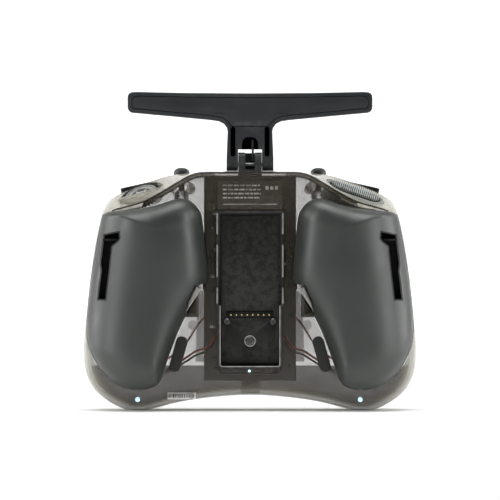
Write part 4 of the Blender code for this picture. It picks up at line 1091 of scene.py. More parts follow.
def grip_patch(bm, side, grow=0.0, lift=0.0, across=26):
    columns = []
    crest = CREST_Y - lift
    for foot, tip, depth, end in grip_rays(side, grow):
        power = BULGE_SIDE * (1 - end) + BULGE_END * end
        column = []
        for k in range(across + 1):
            share = math.sin(math.pi / 2 * k / across)
            at = foot.lerp(tip, share)
            y = crest + (depth - crest) * (1 - max(0, 1 - share ** power) ** (1 / power))
            column.append(bm.verts.new((at[0], y, at[1])))
        columns.append(column)
    for i, column in enumerate(columns):
        following = columns[(i + 1) % len(columns)]
        for k in range(across):
            kept = []
            for v in (column[k], column[k + 1], following[k + 1], following[k]):
                if all((v.co - s.co).length > 1e-4 for s in kept):
                    kept.append(v)
            if len(kept) > 2:
                bm.faces.new(kept)
    bmesh.ops.remove_doubles(bm, verts=bm.verts, dist=1e-3)


def grip_solid(name, side, grow=0.0, lift=0.0):
    bm = bmesh.new()
    grip_patch(bm, side, grow, lift)
    rim = [e for e in bm.edges if e.is_boundary]
    middle = bm.verts.new((side * 46, -12.0, 55))
    for edge in rim:
        bm.faces.new((edge.verts[0], edge.verts[1], middle))
    return raw(name, bm)


def grown(edge, distance):
    count = len(edge)
    made = []
    for i in range(count):
        here = Vector(edge[i])
        before = (here - Vector(edge[i - 1])).normalized()
        after = (Vector(edge[(i + 1) % count]) - here).normalized()
        side = Vector((before[1] + after[1], -before[0] - after[0]))
        side = side.normalized() / max(0.5, math.sqrt(max(0.0, (1 + before.dot(after)) / 2)))
        made.append((here, side))
    turn = sum(Vector(edge[i]).cross(Vector(edge[(i + 1) % count])) for i in range(count))
    sign = 1 if turn > 0 else -1
    return [tuple(here + side * distance * sign) for here, side in made]


def grip_cover(side):
    label = LABELS[side]
    bm = bmesh.new()
    grip_patch(bm, side)
    bmesh.ops.recalc_face_normals(bm, faces=bm.faces)
    if sum(f.normal.y * f.calc_area() for f in bm.faces) > 0:
        bmesh.ops.reverse_faces(bm, faces=bm.faces)
    skin = raw(f"grip_skin_{label}", bm, recalc=False)
    step = skin.modifiers.new("skin", "SOLIDIFY")
    step.thickness, step.offset, step.use_even_offset = GRIP_SKIN * MM, -1, True
    settled(skin)
    slot = [(-side * x, z) for x, z in SLOT_EDGE]
    well = prism("well", grown(slot, SLOT_WALL), (CREST_Y, SLOT_FLOOR_Y + SLOT_WALL))
    common(well, grip_solid("bulge", side, grow=-0.15, lift=-0.15))
    join(skin, well)
    cut(skin, prism("slot", slot, (CREST_Y - 5, SLOT_FLOOR_Y)),
        prism("notch", [(-side * x, z) for x, z in NOTCH_EDGE], (CREST_Y - 5, -8)))
    finished(skin, grip_rubber(), f"grip_cover_{label}", [f"grip_cover_{label}"],
             smooth=40)
    lining = prism(f"slot_lining_{label}", grown(slot, -0.05), (CREST_Y, SLOT_FLOOR_Y - 0.1))
    cut(lining, prism("hollow", grown(slot, -0.7), (CREST_Y - 5, SLOT_FLOOR_Y - 0.7)))
    common(lining, grip_solid("bulge", side, lift=-0.35))
    shelf_z = 79.2
    shelf = box("shelf", sorted((side * 60.2, side * 68.6)), (-22.5, SLOT_FLOOR_Y - 0.3),
                (shelf_z, shelf_z + 0.9))
    common(shelf, prism("limit", grown(slot, -0.3), (CREST_Y, SLOT_FLOOR_Y)))
    join(lining, shelf)
    finished(lining, deep_black(), f"grip_cover_{label}")


def latch(side):
    label = LABELS[side]
    edge = [(-side * x, z) for x, z in ((-22.6, 56.6), (-25.1, 57.9), (-28.7, 49.9), (-28.9, 47.4))]
    body = softened(prism(f"latch_{label}", edge, (-21.5, PLATE_Y - GAP)), 0.5, 3)
    finished(body, clear_smoke("latch_clear", (0.62, 0.60, 0.55), 0.42, 0.4), "case",
             [f"cover_latch_{label}"])


def side_pad(side):
    label = LABELS[side]
    place = mirror_x(PAD_CENTRE, side) + Vector((0, PLATE_Y, 0))
    pad = pill_cap(f"pad_{label}", place, 8.5, 2.7, -0.8, 0.8, 0.7, mirror_x(PAD_ALONG, side),
                   (0, -1, 0))
    cut(pad, grip_solid("clear", side, 0.6, 0.6))
    finished(pad, plastic("pad_rubber", (0.02, 0.02, 0.019), rough=0.6, grain=5200, gloss=0.3),
             "case",
             [f"side_pad_{label}"])


# ---------------------------------------------------------------- module bay
def module_bay():
    tray = bay_box("bay_tray", BAY_WALL, (PLATE_Y - 0.4, BAY_FLOOR_Y + BAY_WALL))
    cut(tray, bay_box("hollow", 0, (-30, BAY_FLOOR_Y)))
    for z in (79.8, 59.8):
        for side in (LEFT, RIGHT):
            cut(tray, box("notch", sorted((side * 14, side * 17)), (-30, -13), (z - 2.4, z + 2.4)))
    softened(tray, 0.18, 2)
    finished(tray, bay_black(), "case", ["module_bay_tray"])
    floor = BAY_FLOOR_Y - GAP
    plate = box("bay_floor", (-13.4, 13.4), (floor - 1.0, floor), (22, 91))
    for x, z, r in BAY_SCREWS:
        cut(plate, cylinder("hole", r * 0.5 + GAP, (x, -12, z), (x, 0, z)))
    cut(plate,
        box("header", (-10.9, 10.9), (floor - 3, floor + 2), (HEADER_Z - 1.6, HEADER_Z + 1.6)))
    softened(plate, 0.2, 2)
    finished(plate,
             plastic("bay_plate_grey", (0.014, 0.0135, 0.012), rough=0.5, grain=2600, tone=0.05,
                            worn=(0.05, 0.05, 0.045), gloss=0.3, smudge=0.02), "case",
             ["module_bay_plate"])
    bar = softened(box("header_bar", (-10.6, 10.6), (BAY_FLOOR_Y - 2.6, floor),
                       (HEADER_Z - 1.3, HEADER_Z + 1.3)), 0.2)
    finished(bar, deep_black(), "case", ["pin_header"])
    pins = row_of_blocks("header_pins", (0.64, 6.2, 0.64), 8, (2.54, 0, 0),
                         Matrix.Translation((0, BAY_FLOOR_Y - 4.4, HEADER_Z)), gold())
    finished(softened(pins, 0.12, 2), gold(), "case")
    for side in (LEFT, RIGHT):
        label = LABELS[side]
        strip = box(f"bay_rail_{label}", sorted((side * 14.85, side * 15.65)),
                    (PLATE_Y - 0.9, PLATE_Y - 0.45), (50, 92))
        for z in (79.8, 59.8):
            cut(strip, box("gap", sorted((side * 14, side * 17)), (-30, -13), (z - 2.5, z + 2.5)))
        finished(softened(strip, 0.15), plastic("rail_grey", (0.17, 0.165, 0.155), rough=0.3),
                 "case")
    lip_edge = [(-14.7, 21), (-14.7, 18.4), (-13.2, 16.9), (13.2, 16.9), (14.7, 18.4), (14.7, 21),
                (13.9, 21),
                (13.9, 18.7), (12.9, 17.7), (-12.9, 17.7), (-13.9, 18.7), (-13.9, 21)]
    lip = softened(prism("bay_lip", lip_edge, (PLATE_Y - 0.7, PLATE_Y - 0.02)), 0.2)
    finished(lip, dark_smoke(), "case")


BAY_SCREWS = ((-10.8, 41.4, 1.7), (10.8, 41.4, 1.7), (0, 32.4, 2.0))


def cross_screw(name, centre, axis, radius, head, length, node=None):
    body = turned(name,
                  [(radius * 0.5, -length), (radius * 0.5, 0), (radius, 0), (radius, head * 0.55),
                         (radius * 0.93, head * 0.8), (radius * 0.75, head)], centre, axis, 40)
    place = frame_matrix(centre, axis)
    half, thick = radius * 0.55, radius * 0.13
    for turn in (0, math.pi / 2):
        arms = slab("slot", [(-half, -thick), (half, -thick), (half, thick), (-half, thick)],
                    head * 0.3, head + 1,
                    place @ Matrix.Rotation(turn + 0.3, 4, "Z"))
        cut(body, arms)
    finished(body, dark_steel(), "case", [node] if node else ())


def bay_screws():
    for k, (x, z, r) in enumerate(BAY_SCREWS):
        cross_screw(f"module_screw_{k + 1}", Vector((x, BAY_FLOOR_Y - 1.6, z)), (0, -1, 0), r, 1.0,
                    1.2,
                    f"bay_screw_{k + 1}")


def bay_lines():
    """The bead round the foot of the bay, its middle screw's ring and the grips' lips."""
    pale = plastic("pale_lip", (0.34, 0.33, 0.31), rough=0.3)
    foot = [(-13.9, 49.0), (-13.9, 21.4), (-13.3, 20.7), (13.3, 20.7), (13.9, 21.4), (13.9, 49.0)]
    ribbon("bay_bead", foot, 0.2, -17.45, -17.0, pale)
    ring = turned("screw_ring", [(2.3, 0), (2.62, 0), (2.62, 0.4), (2.3, 0.4), (2.3, 0)],
                  Vector((0, BAY_FLOOR_Y - 1.3, 32.4)), (0, -1, 0), 40)
    finished(ring, steel(), "case")
    path = [(-24.3, 55.0), (-29.2, 47.2), (-33.8, 38), (-37.2, 29.3), (-40.0, 21.3), (-42.3, 14.8)]
    for side in (LEFT, RIGHT):
        ribbon(f"grip_lip_{LABELS[side]}", [(side * -x, z) for x, z in path], 0.2, -17.2, -16.9,
               pale)


def label_behind_plate():
    sheet = softened(prism("rating_label", [(-15, 93.9), (15, 93.9), (15, 107), (-15, 107)],
                           (-14.95, -14.7)), 0.1)
    finished(sheet, label_film(), "case")
    dice = random.Random(5)
    bm = bmesh.new()

    def mark(x0, x1, z0, z1):
        rings = [[bm.verts.new((x, y, z)) for x,
                  z in ((x0, z0), (x1, z0), (x1, z1), (x0, z1))] for y in (-15.0, -14.94)]
        bm.faces.new(rings[0])
        bm.faces.new(rings[1][::-1])
        for k in range(4):
            n = (k + 1) % 4
            bm.faces.new((rings[0][k], rings[1][k], rings[1][n], rings[0][n]))

    for row in range(4):
        x, z = -12.6, 104.6 - row * 1.9
        while x < 4.5:
            wide = dice.uniform(0.8, 2.6)
            mark(x, min(x + wide, 5), z, z + 0.7)
            x += wide + 0.5
    for k in range(3):
        mark(7.2 + k * 2.2, 8.6 + k * 2.2, 103.0, 104.6)
    mark(-12.6, 12.6, 96.0, 96.4)
    finished(raw("rating_marks", bm), print_white(), "case", smooth=None)


def sticker():
    """A plain serial sticker on the lower edge, printed with bars only."""
    paper = softened(box("edge_sticker", (-38.4, -25.2), (-15.2, -14.9), (5.4, 8.6)), 0.06)
    finished(paper, print_white(), "case")
    dice, x, bars = random.Random(9), -37.8, None
    while x < -26.2:
        wide = dice.uniform(0.2, 0.55)
        bar = box("bar", (x, x + wide), (-15.28, -15.15), (6.1, 7.9))
        bars = join(bars, bar) if bars else bar
        x += wide + dice.uniform(0.25, 0.5)
    bars.name = bars.data.name = "edge_sticker_bars"
    finished(bars, deep_black(), "case", smooth=None)


def glint_glow():
    """A small frosted lens that glows though it is no lamp: a painted glint, brightest at its
    middle.
    """
    if "glint_glow" in MADE:
        return MADE["glint_glow"]
    made, tree, shader = blank("glint_glow")
    tone = noise(tree, object_space(tree), 900, 2)
    wire(tree, blended(tree, tone, (0.55, 0.75, 0.85), (0.75, 0.9, 1.0)),
         shader.inputs["Base Color"])
    wire(tree, blended(tree, tone, (0.35, 0.7, 0.9), (0.6, 0.85, 1.0)),
         shader.inputs["Emission Color"])
    shader.inputs["Emission Strength"].default_value = 2.2
    shader.inputs["Roughness"].default_value = 0.3
    MADE["glint_glow"] = made
    return made


# Painted glints: three small glowing lenses on the lower edge and the plate, standing in for
# highlights on the shell.
def painted_glints():
    for name, x, y, z, r in (("glint_left", -52.4, -12.5, 5.2, 1.1),
                             ("glint_right", 51.4, -12.5, 5.2, 1.1),
                             ("glint_middle", -0.3, -17.25, 18.6, 0.55)):
        lens = turned(name, [(r, -1.5), (r, 0), (r * 0.85, 0.35), (r * 0.5, 0.6), (0, 0.7)],
                      Vector((x, y, z)),
                      (0, -1, 0), 32)
        finished(lens, glint_glow(), "case")


# ---------------------------------------------------------------- inside the case
def circuit():
    board = softened(box("circuit_board", (-21.4, 21.4), (-3.6, -2.0), (14, 104.5)), 0.15)
    finished(board, circuit_board(), "case", ["main_board"])
    loops = case_loops(0)
    # The two liners and the cover are painted shade: dark sheets that darken what shows through the
    # case, where its inside lies in shade. They are not known parts.
    tint = clear_smoke("shade_sheet_smoke", (0.055, 0.044, 0.033), 0.42, 0.2, (0.06, 0.05, 0.04))
    low = [tuple(p) for p in inward(loops[0], 2.6) if p[1] < 22]
    deep = clear_smoke("deep_shade_smoke", (0.045, 0.035, 0.025), 0.60, 0.2, (0.05, 0.04, 0.03))
    finished(prism("lower_shade_sheet", low, (3.0, 3.5)), deep, "case")
    high = [(-24.5, 64), (24.5, 64), (25.5, 22.5), (-25.5, 22.5)]
    finished(prism("middle_shade_sheet", high, (2.0, 2.5)), tint, "case")
    shade = softened(box("board_shade_sheet", (-21.6, 21.6), (-1.9, -1.3), (13.6, 109.3)), 0.15)
    finished(shade, plastic("shade_sheet_brown", (0.012, 0.009, 0.006), rough=0.4), "case")
    dice = random.Random(11)
    parts = {"chip": bmesh.new(), "tin": bmesh.new()}
    taken = []
    for _ in range(150):
        kind = "chip" if dice.random() < 0.6 else "tin"
        w, h, t = dice.uniform(0.7, 3.4), dice.uniform(0.6, 3.0), dice.uniform(0.4, 1.3)
        x, z, rear = dice.uniform(-20, 20), dice.uniform(16, 103), dice.random() < 0.6
        if any(abs(x - a) < (w + c) / 2 + 0.3 and abs(z - b) < (h + d) / 2 + 0.3 and rear == e
               for a, b, c, d, e in taken):
            continue
        taken.append((x, z, w, h, rear))
        y = (-3.6 - t, -3.6) if rear else (-2.0, -2.0 + t)
        bm = parts[kind]
        made = bmesh.ops.create_cube(bm, size=1)["verts"]
        bmesh.ops.scale(bm, vec=(w, y[1] - y[0], h), verts=made)
        bmesh.ops.translate(bm, vec=(x, sum(y) / 2, z), verts=made)
    finished(softened(raw("board_chips", parts["chip"]), 0.12), deep_black(), "case")
    finished(softened(raw("board_cans", parts["tin"]), 0.12), dark_steel(), "case")
    for side in (LEFT, RIGHT):
        label = LABELS[side]
        for k, (finish, shift) in enumerate(((wire_red(), 0), (wire_black(), -1.9))):
            path = [(side * 16.6, -4.9, 34.5 + shift), (side * 18.6, -6.0, 30 + shift),
                    (side * 21.8, -5.6, 28.4 + shift),
                    (side * 25.5, 2.0, 28 + shift), (side * 30, 4.6, 24 + shift),
                    (side * 40, 5.2, 18 + shift * 0.6)]
            tube(f"cell_lead_{label}_{k + 1}", path, 0.5, finish, "case")
        path = [(side * 20.6, -0.8, 44), (side * 23, 3.6, 42), (side * 27, 4.8, 36),
                (side * 31, 5.2, 29),
                (side * 37, 5.2, 24), (side * 46, 5.0, 21)]
        tube(f"signal_lead_{label}", path, 0.5, wire_pink(), "case")


def cell_ends(side):
    low = Vector((side * 53.0, -20.2, 20.5))
    axis = Vector((side * -0.15, 0, 1)).normalized()
    return low, low + axis * 65.0


def cells():
    for side in (LEFT, RIGHT):
        label = LABELS[side]
        low, high = cell_ends(side)
        axis = (high - low).normalized()
        body = turned(f"cell_wrap_{label}",
                      [(8.2, 0), (9.0, 0.15), (9.1, 0.6), (9.1, 62.8), (8.9, 63.4), (8.6, 63.7),
                                             (7.2, 63.7), (7.2, 63.2)], low, axis, 64)
        finished(body, cell_wrap(), "case", [f"cell_{label}"])
        cap = turned(f"cell_cap_{label}",
                     [(6.9, 62.8), (6.9, 63.4), (3.4, 63.7), (3.0, 64.8), (2.6, 65)], low, axis, 40)
        finished(cap, steel(), "case")
        place = frame_matrix(low, axis, (1, 0, 0))
        towards = 1 if (place.to_3x3() @ Vector((0, 1, 0))).y > 0 else -1
        outline = [(x, y * towards) for x, y in ((-9.9, 1), (9.9, 1), (9.9, 10.6), (-9.9, 10.6))]
        trough = slab(f"cradle_{label}", outline[::towards], -3.0, 67.6, place)
        cut(trough, turned("hollow", [(9.4, -1.8), (9.4, 66.4)], low, axis, 64))
        finished(softened(trough, 0.3), black_plastic(), "case",
                 [f"cell_cradle_{label}"])
        coil = []
        for k in range(64):
            a, share = k * 2 * math.pi / 14, k / 63
            radius = 4.9 - 2.2 * share
            coil.append(tuple(place @ Vector((radius * math.cos(a), radius * math.sin(a),
                                              -1.4 + 1.1 * share))))
        tube(f"contact_spring_{label}", coil, 0.28, steel(), "case")
        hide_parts(f"cell_contact_{label}")


# ---------------------------------------------------------------- shoulders
def shoulder_controls():
    place = frame_matrix(MOMENTARY_CENTRE, SLOPE_NORMAL, SLOPE_ALONG)
    seat = pill_cap("momentary_seat", MOMENTARY_CENTRE, 14.2, 6.2, -6, 0.9, 0.7, SLOPE_ALONG,
                    SLOPE_NORMAL, 14)
    cut(seat, pill("hollow", MOMENTARY_CENTRE, 12.5, 4.7, -4.8, 10, SLOPE_ALONG, SLOPE_NORMAL, 14))
    finished(seat, grey_plastic(), "case", ["momentary_bezel"])
    cap = pill_cap("momentary_cap", MOMENTARY_CENTRE, 12.1, 4.3, -3.2, 1.0, 0.5, SLOPE_ALONG,
                   SLOPE_NORMAL, 14)
    finished(cap, deep_black(), "momentary_button", ["momentary_button"])
    ribs = row_of_blocks("momentary_ribs", (0.46, 9.4, 1.9), 25, (0.94, 0, 0),
                         place @ Matrix.Translation((0, 0, 2.2)),
                         rib_grey())
    common(ribs,
           pill_cap("limit", MOMENTARY_CENTRE, 11.8, 4.1, 0.6, 2.5, 0.5, SLOPE_ALONG, SLOPE_NORMAL,
                    14))
    finished(ribs, rib_grey(), "momentary_button")
    for side in (LEFT, RIGHT):
        axis = mirror_x(PUSH_AXIS, side)
        push = pill_cap(f"push_cap_{LABELS[side]}", mirror_x(PUSH_CENTRE, side), 8.7, 2.5, -5, 1.9,
                        0.7,
                        axis.cross(Vector((0, 1, 0))), axis)
        matt = plastic("push_black", (0.006, 0.006, 0.005), rough=0.7, gloss=0.12,
                       worn=(0.03, 0.03, 0.028))
        finished(push, matt, f"shoulder_push_{LABELS[side]}",
                 [f"shoulder_push_{LABELS[side]}"])
    wheel()


def wheel():
    r, half = WHEEL_R, WHEEL_HALF
    profile = [(1.8, -half), (3.0, -half), (3.0, -0.7), (5.2, -0.7), (5.2, -half), (r - 1.3, -half),
               (r - 0.9, -1.2),
               (r - 0.9, 1.0), (r - 1.3, half), (7.0, half), (6.9, half - 0.35), (6.5, half - 0.35),
               (6.4, half - 0.15),
               (5.2, half - 0.15), (5.0, half - 0.5), (4.9, 0.2), (3.0, 0.2), (2.9, half - 0.3),
               (1.8, half - 0.3),
               (1.8, -half)]
    body = turned("dial_body", profile, WHEEL_CENTRE, DIAL_AXIS, 96)
    finished(body, dial_grey(), "thumb_wheel", ["thumb_wheel"])
    place = frame_matrix(WHEEL_CENTRE, DIAL_AXIS)
    raised = place @ Matrix.Translation((0, 0, 0.3))
    teeth = ring_of_blocks("dial_teeth", (1.35, 0.95, 3.4), 32, r - 0.68, raised, deep_black())
    finished(softened(teeth, 0.12), deep_black(), "thumb_wheel")
    spokes = ring_of_blocks("dial_spokes", (2.3, 1.0, 2.2), 6, 3.9, place, dial_grey())
    finished(softened(spokes, 0.12), dial_grey(), "thumb_wheel")
    bracket = half_disc("dial_bracket", r + 2.2, 1, -half - 0.2, -0.1)
    cut(bracket,
        cylinder("room", r + 0.35, WHEEL_CENTRE - DIAL_AXIS * 5, WHEEL_CENTRE + DIAL_AXIS * 5, 64))
    finished(softened(bracket, 0.15), deep_black(), "case")
    axle = turned("dial_pin", [(1.5, -1.9), (1.5, 1.2), (1.2, 1.45), (0, 1.5)], WHEEL_CENTRE,
                  DIAL_AXIS, 40)
    finished(axle, steel(), "case", ["wheel_axle"])


# ---------------------------------------------------------------- sticks and the face
def gimbals():
    for side in (LEFT, RIGHT):
        label = LABELS[side]
        x, z = side * STICK_X, STICK_Z
        origin = Vector((x, STICK_Y, z))
        body = box(f"gimbal_box_{label}", (x - 20.5, x + 20.5), (-9.3, 9.0), (z - 20.5, z + 20.5))
        cut(body, box("inner", (x - 19, x + 19), (-30, 7.8), (z - 19, z + 19)))
        for way in (LEFT, RIGHT):
            for z_way in (LEFT, RIGHT):
                window = box("window", (x + way * 9 - 6, x + way * 9 + 6), (-7, 5.5),
                             sorted((z + z_way * 15, z + z_way * 30)))
                cut(body, window)
        join(body, cylinder("collar", 16.9, (x, 7.0, z), (x, FACE_Y + 0.4, z), 96))
        cut(body,
            turned("funnel",
                   [(11.8, 5), (11.8, 8.0), (12.6, 9.0), (14.4, 10.9), (16.1, FACE_Y + 0.6)],
                         (x, 0, z), (0, 1, 0), 96))
        cut(body, cylinder("axle", 1.3, (x - 30, STICK_Y, z), (x + 30, STICK_Y, z)))
        softened(body, 0.25, 2)
        finished(body, grey_plastic(), "case", [f"gimbal_frame_{label}"])
        ring = turned(f"yoke_ring_{label}", [(17.3, -1.5), (17.3, 1.5)], origin, (0, 1, 0), 96)
        cut(ring,
            cylinder("hole", 15.5, origin - Vector((0, 5, 0)), origin + Vector((0, 5, 0)), 96))
        for way in (LEFT, RIGHT):
            join(ring,
                 cylinder("axle", 1.0, origin + Vector((way * 16.4, 0, 0)),
                          origin + Vector((way * 20.3, 0, 0))))
        cut(ring, cylinder("cross", 0.9, origin - Vector((0, 0, 25)), origin + Vector((0, 0, 25))))
        finished(softened(ring, 0.15), grey_plastic(), f"yoke_{label}",
                 [f"gimbal_yoke_{label}"])
        arc = [math.radians(a) for a in range(-8, 81, 4)]
        outer = [(14 * math.cos(a), 14 * math.sin(a)) for a in arc]
        inner = [(12.6 * math.cos(a), 12.6 * math.sin(a)) for a in arc]
        profile = [(0, 12.6)] + inner[::-1] + outer + [(2.3, 14.0), (1.9, 14.5), (1.9, 24.55),
                                                       (0, 24.55)]
        dome = turned(f"stick_dome_{label}", profile, origin, (0, 1, 0), 96)
        for way in (LEFT, RIGHT):
            join(dome,
                 cylinder("axle", 0.6, origin + Vector((0, 0, way * 13.2)),
                          origin + Vector((0, 0, way * 17.0))))
        finished(dome, black_plastic(), f"stick_{label}",
                 [f"gimbal_stick_{label}"])
        end_of_stick(label, origin)


def end_of_stick(label, origin):
    top = TIP_Y - STICK_Y
    profile = [(2.2, top - 8.6), (2.2, top - 13.5), (2.6, top - 13.5), (2.9, top - 13.2),
               (3.2, top - 12.6),
               (3.2, top - 11.4), (2.8, top - 11.0), (2.8, top - 10.4), (3.2, top - 10.0),
               (3.2, top - 6.4),
               (3.6, top - 4.4), (4.1, top - 2.8), (4.1, top - 0.7), (3.8, top - 0.2), (3.4, top),
               (2.8, top - 0.25),
               (2.4, top - 0.8), (0, top - 1.0)]
    body = turned(f"stick_grip_{label}", [(0, top - 8.6)] + profile, origin, (0, 1, 0), 64)
    finished(body, dark_steel(), f"stick_{label}", [f"stick_end_{label}"])
    place = frame_matrix(origin + Vector((0, top - 1.75, 0)), (0, 1, 0))
    knurl = ring_of_blocks(f"stick_knurl_{label}", (0.55, 0.42, 1.9), 30, 4.05, place, steel())
    finished(softened(knurl, 0.08), steel(), f"stick_{label}")


def toggles():
    lever = (TOGGLE_TIP - TOGGLE_PIVOT).normalized()
    length = (TOGGLE_TIP - TOGGLE_PIVOT).length
    for side in (LEFT, RIGHT):
        label = LABELS[side]
        base = TOGGLE_PIVOT + Vector((side * TOGGLE_X, 0, 0))
        body = turned(f"toggle_bush_{label}",
                      [(3.3, -7), (3.3, 1.7), (3.0, 2.0), (3.15, 2.3), (3.0, 2.6), (2.4, 2.6),
                                               (2.4, -2.2), (0, -2.2)], base, lever, 48)
        finished(body, dark_steel(), "case", [f"toggle_body_{label}"])
        arm = turned(f"toggle_arm_{label}",
                     [(0, -1.7), (1.2, -1.55), (1.5, 0), (1.5, 2), (1.4, length - 2.4),
                                             (1.7, length - 2.2), (3.1, length - 1.0),
                                             (3.5, length - 0.6),
                                             (3.75, length - 0.1), (3.75, length + 1.9),
                                             (3.65, length + 2.2),
                                             (3.4, length + 2.45), (2.9, length + 2.6),
                                             (1.4, length + 2.7),
                                             (0, length + 2.7)], base, lever, 48)
        collar = turned(f"toggle_collar_{label}",
                        [(2.8, 5.4), (6.4, 5.4), (6.4, 5.9), (2.8, 5.9), (2.8, 5.4)], base,
                        lever, 40)
        finished(collar, clear_smoke("front_smoke"), "case")
        finished(arm, black_plastic(), f"toggle_{label}",
                 [f"toggle_lever_{label}"])


def face_controls():
    for name, (x, z, r) in BUTTONS.items():
        profile = [(r + 0.8, -3.6), (r + 0.8, -2.8), (r, -2.8), (r, 0.7), (r - 0.15, 1.05),
                   (r - 0.5, 1.3),
                   (r * 0.5, 1.22), (0, 1.18)]
        cap = turned(f"{name}_cap", profile, (x, FACE_Y, z), (0, 1, 0), 56)
        finished(cap, black_plastic(), name, [name])
        dot = turned(f"{name}_mark",
                     [(r * 0.34, 1.0), (r * 0.34, 1.32), (r * 0.26, 1.34), (r * 0.2, 1.32),
                                      (r * 0.2, 1.0)], (x, FACE_Y, z), (0, 1, 0), 32)
        finished(dot, print_white(), name)
    for name, (x, z, level) in TRIMS.items():
        half = (7.9, 2.2) if level else (2.2, 7.9)
        body = box(f"{name}_cap", (x - half[0], x + half[0]), (FACE_Y - 3.2, FACE_Y + 1.0),
                   (z - half[1], z + half[1]))
        for way in (LEFT, RIGHT):
            span = (4.0, 7.9)
            if level:
                wedge = box("end", sorted((x + way * span[0], x + way * span[1])),
                            (FACE_Y + 0.5, FACE_Y + 2.0), (z - 2.2, z + 2.2))
            else:
                wedge = box("end", (x - 2.2, x + 2.2), (FACE_Y + 0.5, FACE_Y + 2.0),
                            sorted((z + way * span[0], z + way * span[1])))
            join(body, wedge)
        finished(softened(body, 0.35, 3), black_plastic(), name, [name])
    wheel_body = turned("roller_body", [(4.1, -2.2), (4.4, -1.9), (4.4, 1.9), (4.1, 2.2)], ROLLER,
                        (1, 0, 0), 48)
    finished(wheel_body, black_plastic(), "scroll_roller", ["scroll_roller"])
    treads = ring_of_blocks("roller_treads", (0.9, 0.7, 3.9), 20, 4.4,
                            frame_matrix(ROLLER, (1, 0, 0)), black_plastic())
    finished(softened(treads, 0.12), black_plastic(), "scroll_roller")


def screen():
    window = box("screen_cover", (-SCREEN_HALF_X - 1, SCREEN_HALF_X + 1),
                 (FACE_Y - 1.8, FACE_Y + 0.3),
                 (SCREEN_Z - SCREEN_HALF_Z - 1, SCREEN_Z + SCREEN_HALF_Z + 1))
    finished(softened(window, 0.3, 3), screen_glass(), "case", ["screen_window"])
    panel = box("screen_lit", (-SCREEN_HALF_X + 1, SCREEN_HALF_X - 1), (FACE_Y - 4.4, FACE_Y - 2.4),
                (SCREEN_Z - SCREEN_HALF_Z + 1, SCREEN_Z + SCREEN_HALF_Z - 1))
    finished(softened(panel, 0.15), screen_film(), "case", ["screen_panel"])
    bm = bmesh.new()

    def mark(x0, x1, z0, z1):
        made = bmesh.ops.create_cube(bm, size=1)["verts"]
        bmesh.ops.scale(bm, vec=(x1 - x0, 0.06, z1 - z0), verts=made)
        bmesh.ops.translate(bm, vec=((x0 + x1) / 2, FACE_Y - 2.37, (z0 + z1) / 2), verts=made)

    mark(-16, 16, 94.4, 94.7)
    mark(-15.5, -15.1, 79, 93)
    mark(15.1, 15.5, 79, 93)
    mark(-12, 12, 78.2, 78.5)
    for k, share in enumerate((0.8, 0.55, 0.7, 0.35)):
        mark(-12, -12 + 9 * share, 90.8 - k * 2.6, 91.8 - k * 2.6)
        mark(3, 3 + 9 * (1.1 - share), 90.8 - k * 2.6, 91.8 - k * 2.6)
    finished(raw("screen_marks", bm), deep_black(), "case", smooth=None)


def speaker():
    at = (0, FACE_Y - WALL - GAP, 22.5)
    body = turned("speaker_can", [(8.5, 0), (8.5, 3.6), (4, 3.6), (4, 5)], at, (0, -1, 0), 64)
    cut(body,
        turned("cone", [(7.6, -1), (7.6, 0.4), (3.0, 2.2), (2.6, 1.6), (0, 1.2)], at, (0, -1, 0),
               64))
    finished(softened(body, 0.15), black_plastic(), "case", ["speaker"])


def socket():
    body = pill("usb_socket", Vector((0, 6.0, 9.6)), 4.5, 1.6, -2.4, 4.0, (1, 0, 0), (0, 0, 1))
    cut(body, pill("hollow", Vector((0, 6.0, 9.6)), 4.1, 1.2, -5.0, 3.2, (1, 0, 0), (0, 0, 1)))
    finished(body, steel(), "case", ["charging_socket"])
    tongue = softened(box("usb_tongue", (-3.1, 3.1), (5.65, 6.35), (7.8, 12.9)), 0.1)
    finished(tongue, deep_black(), "case")


# ---------------------------------------------------------------- antenna
BAR_EDGE = [
    (0, 148.2), (30, 148.4), (53, 148.9), (55.4, 148.75), (56.6, 148.1), (57.2, 147.1),
    (57.3, 145.8), (57.3, 141.8),
    (57.0, 140.4), (56.2, 139.5), (55.0, 139.1), (53.6, 139.0), (36, 137.4), (18.5, 135.75),
    (14.7, 135.2),
    (12.2, 134.0), (10.8, 132.0), (10.5, 130.2), (10.7, 125), (11, 118), (11, HINGE_Z),
]
PANEL_EDGE = [(0, 146.4), (30, 146.6), (52.6, 147.1), (54.2, 146.8), (55.1, 146.0), (55.4, 145.0),
              (55.4, 142.6),
              (55.1, 141.5), (54.3, 140.95), (52.9, 140.8), (36, 139.2), (17.0, 137.5),
              (13.0, 136.6), (10.4, 134.8),
              (8.6, 132.6), (0, 132.6)]


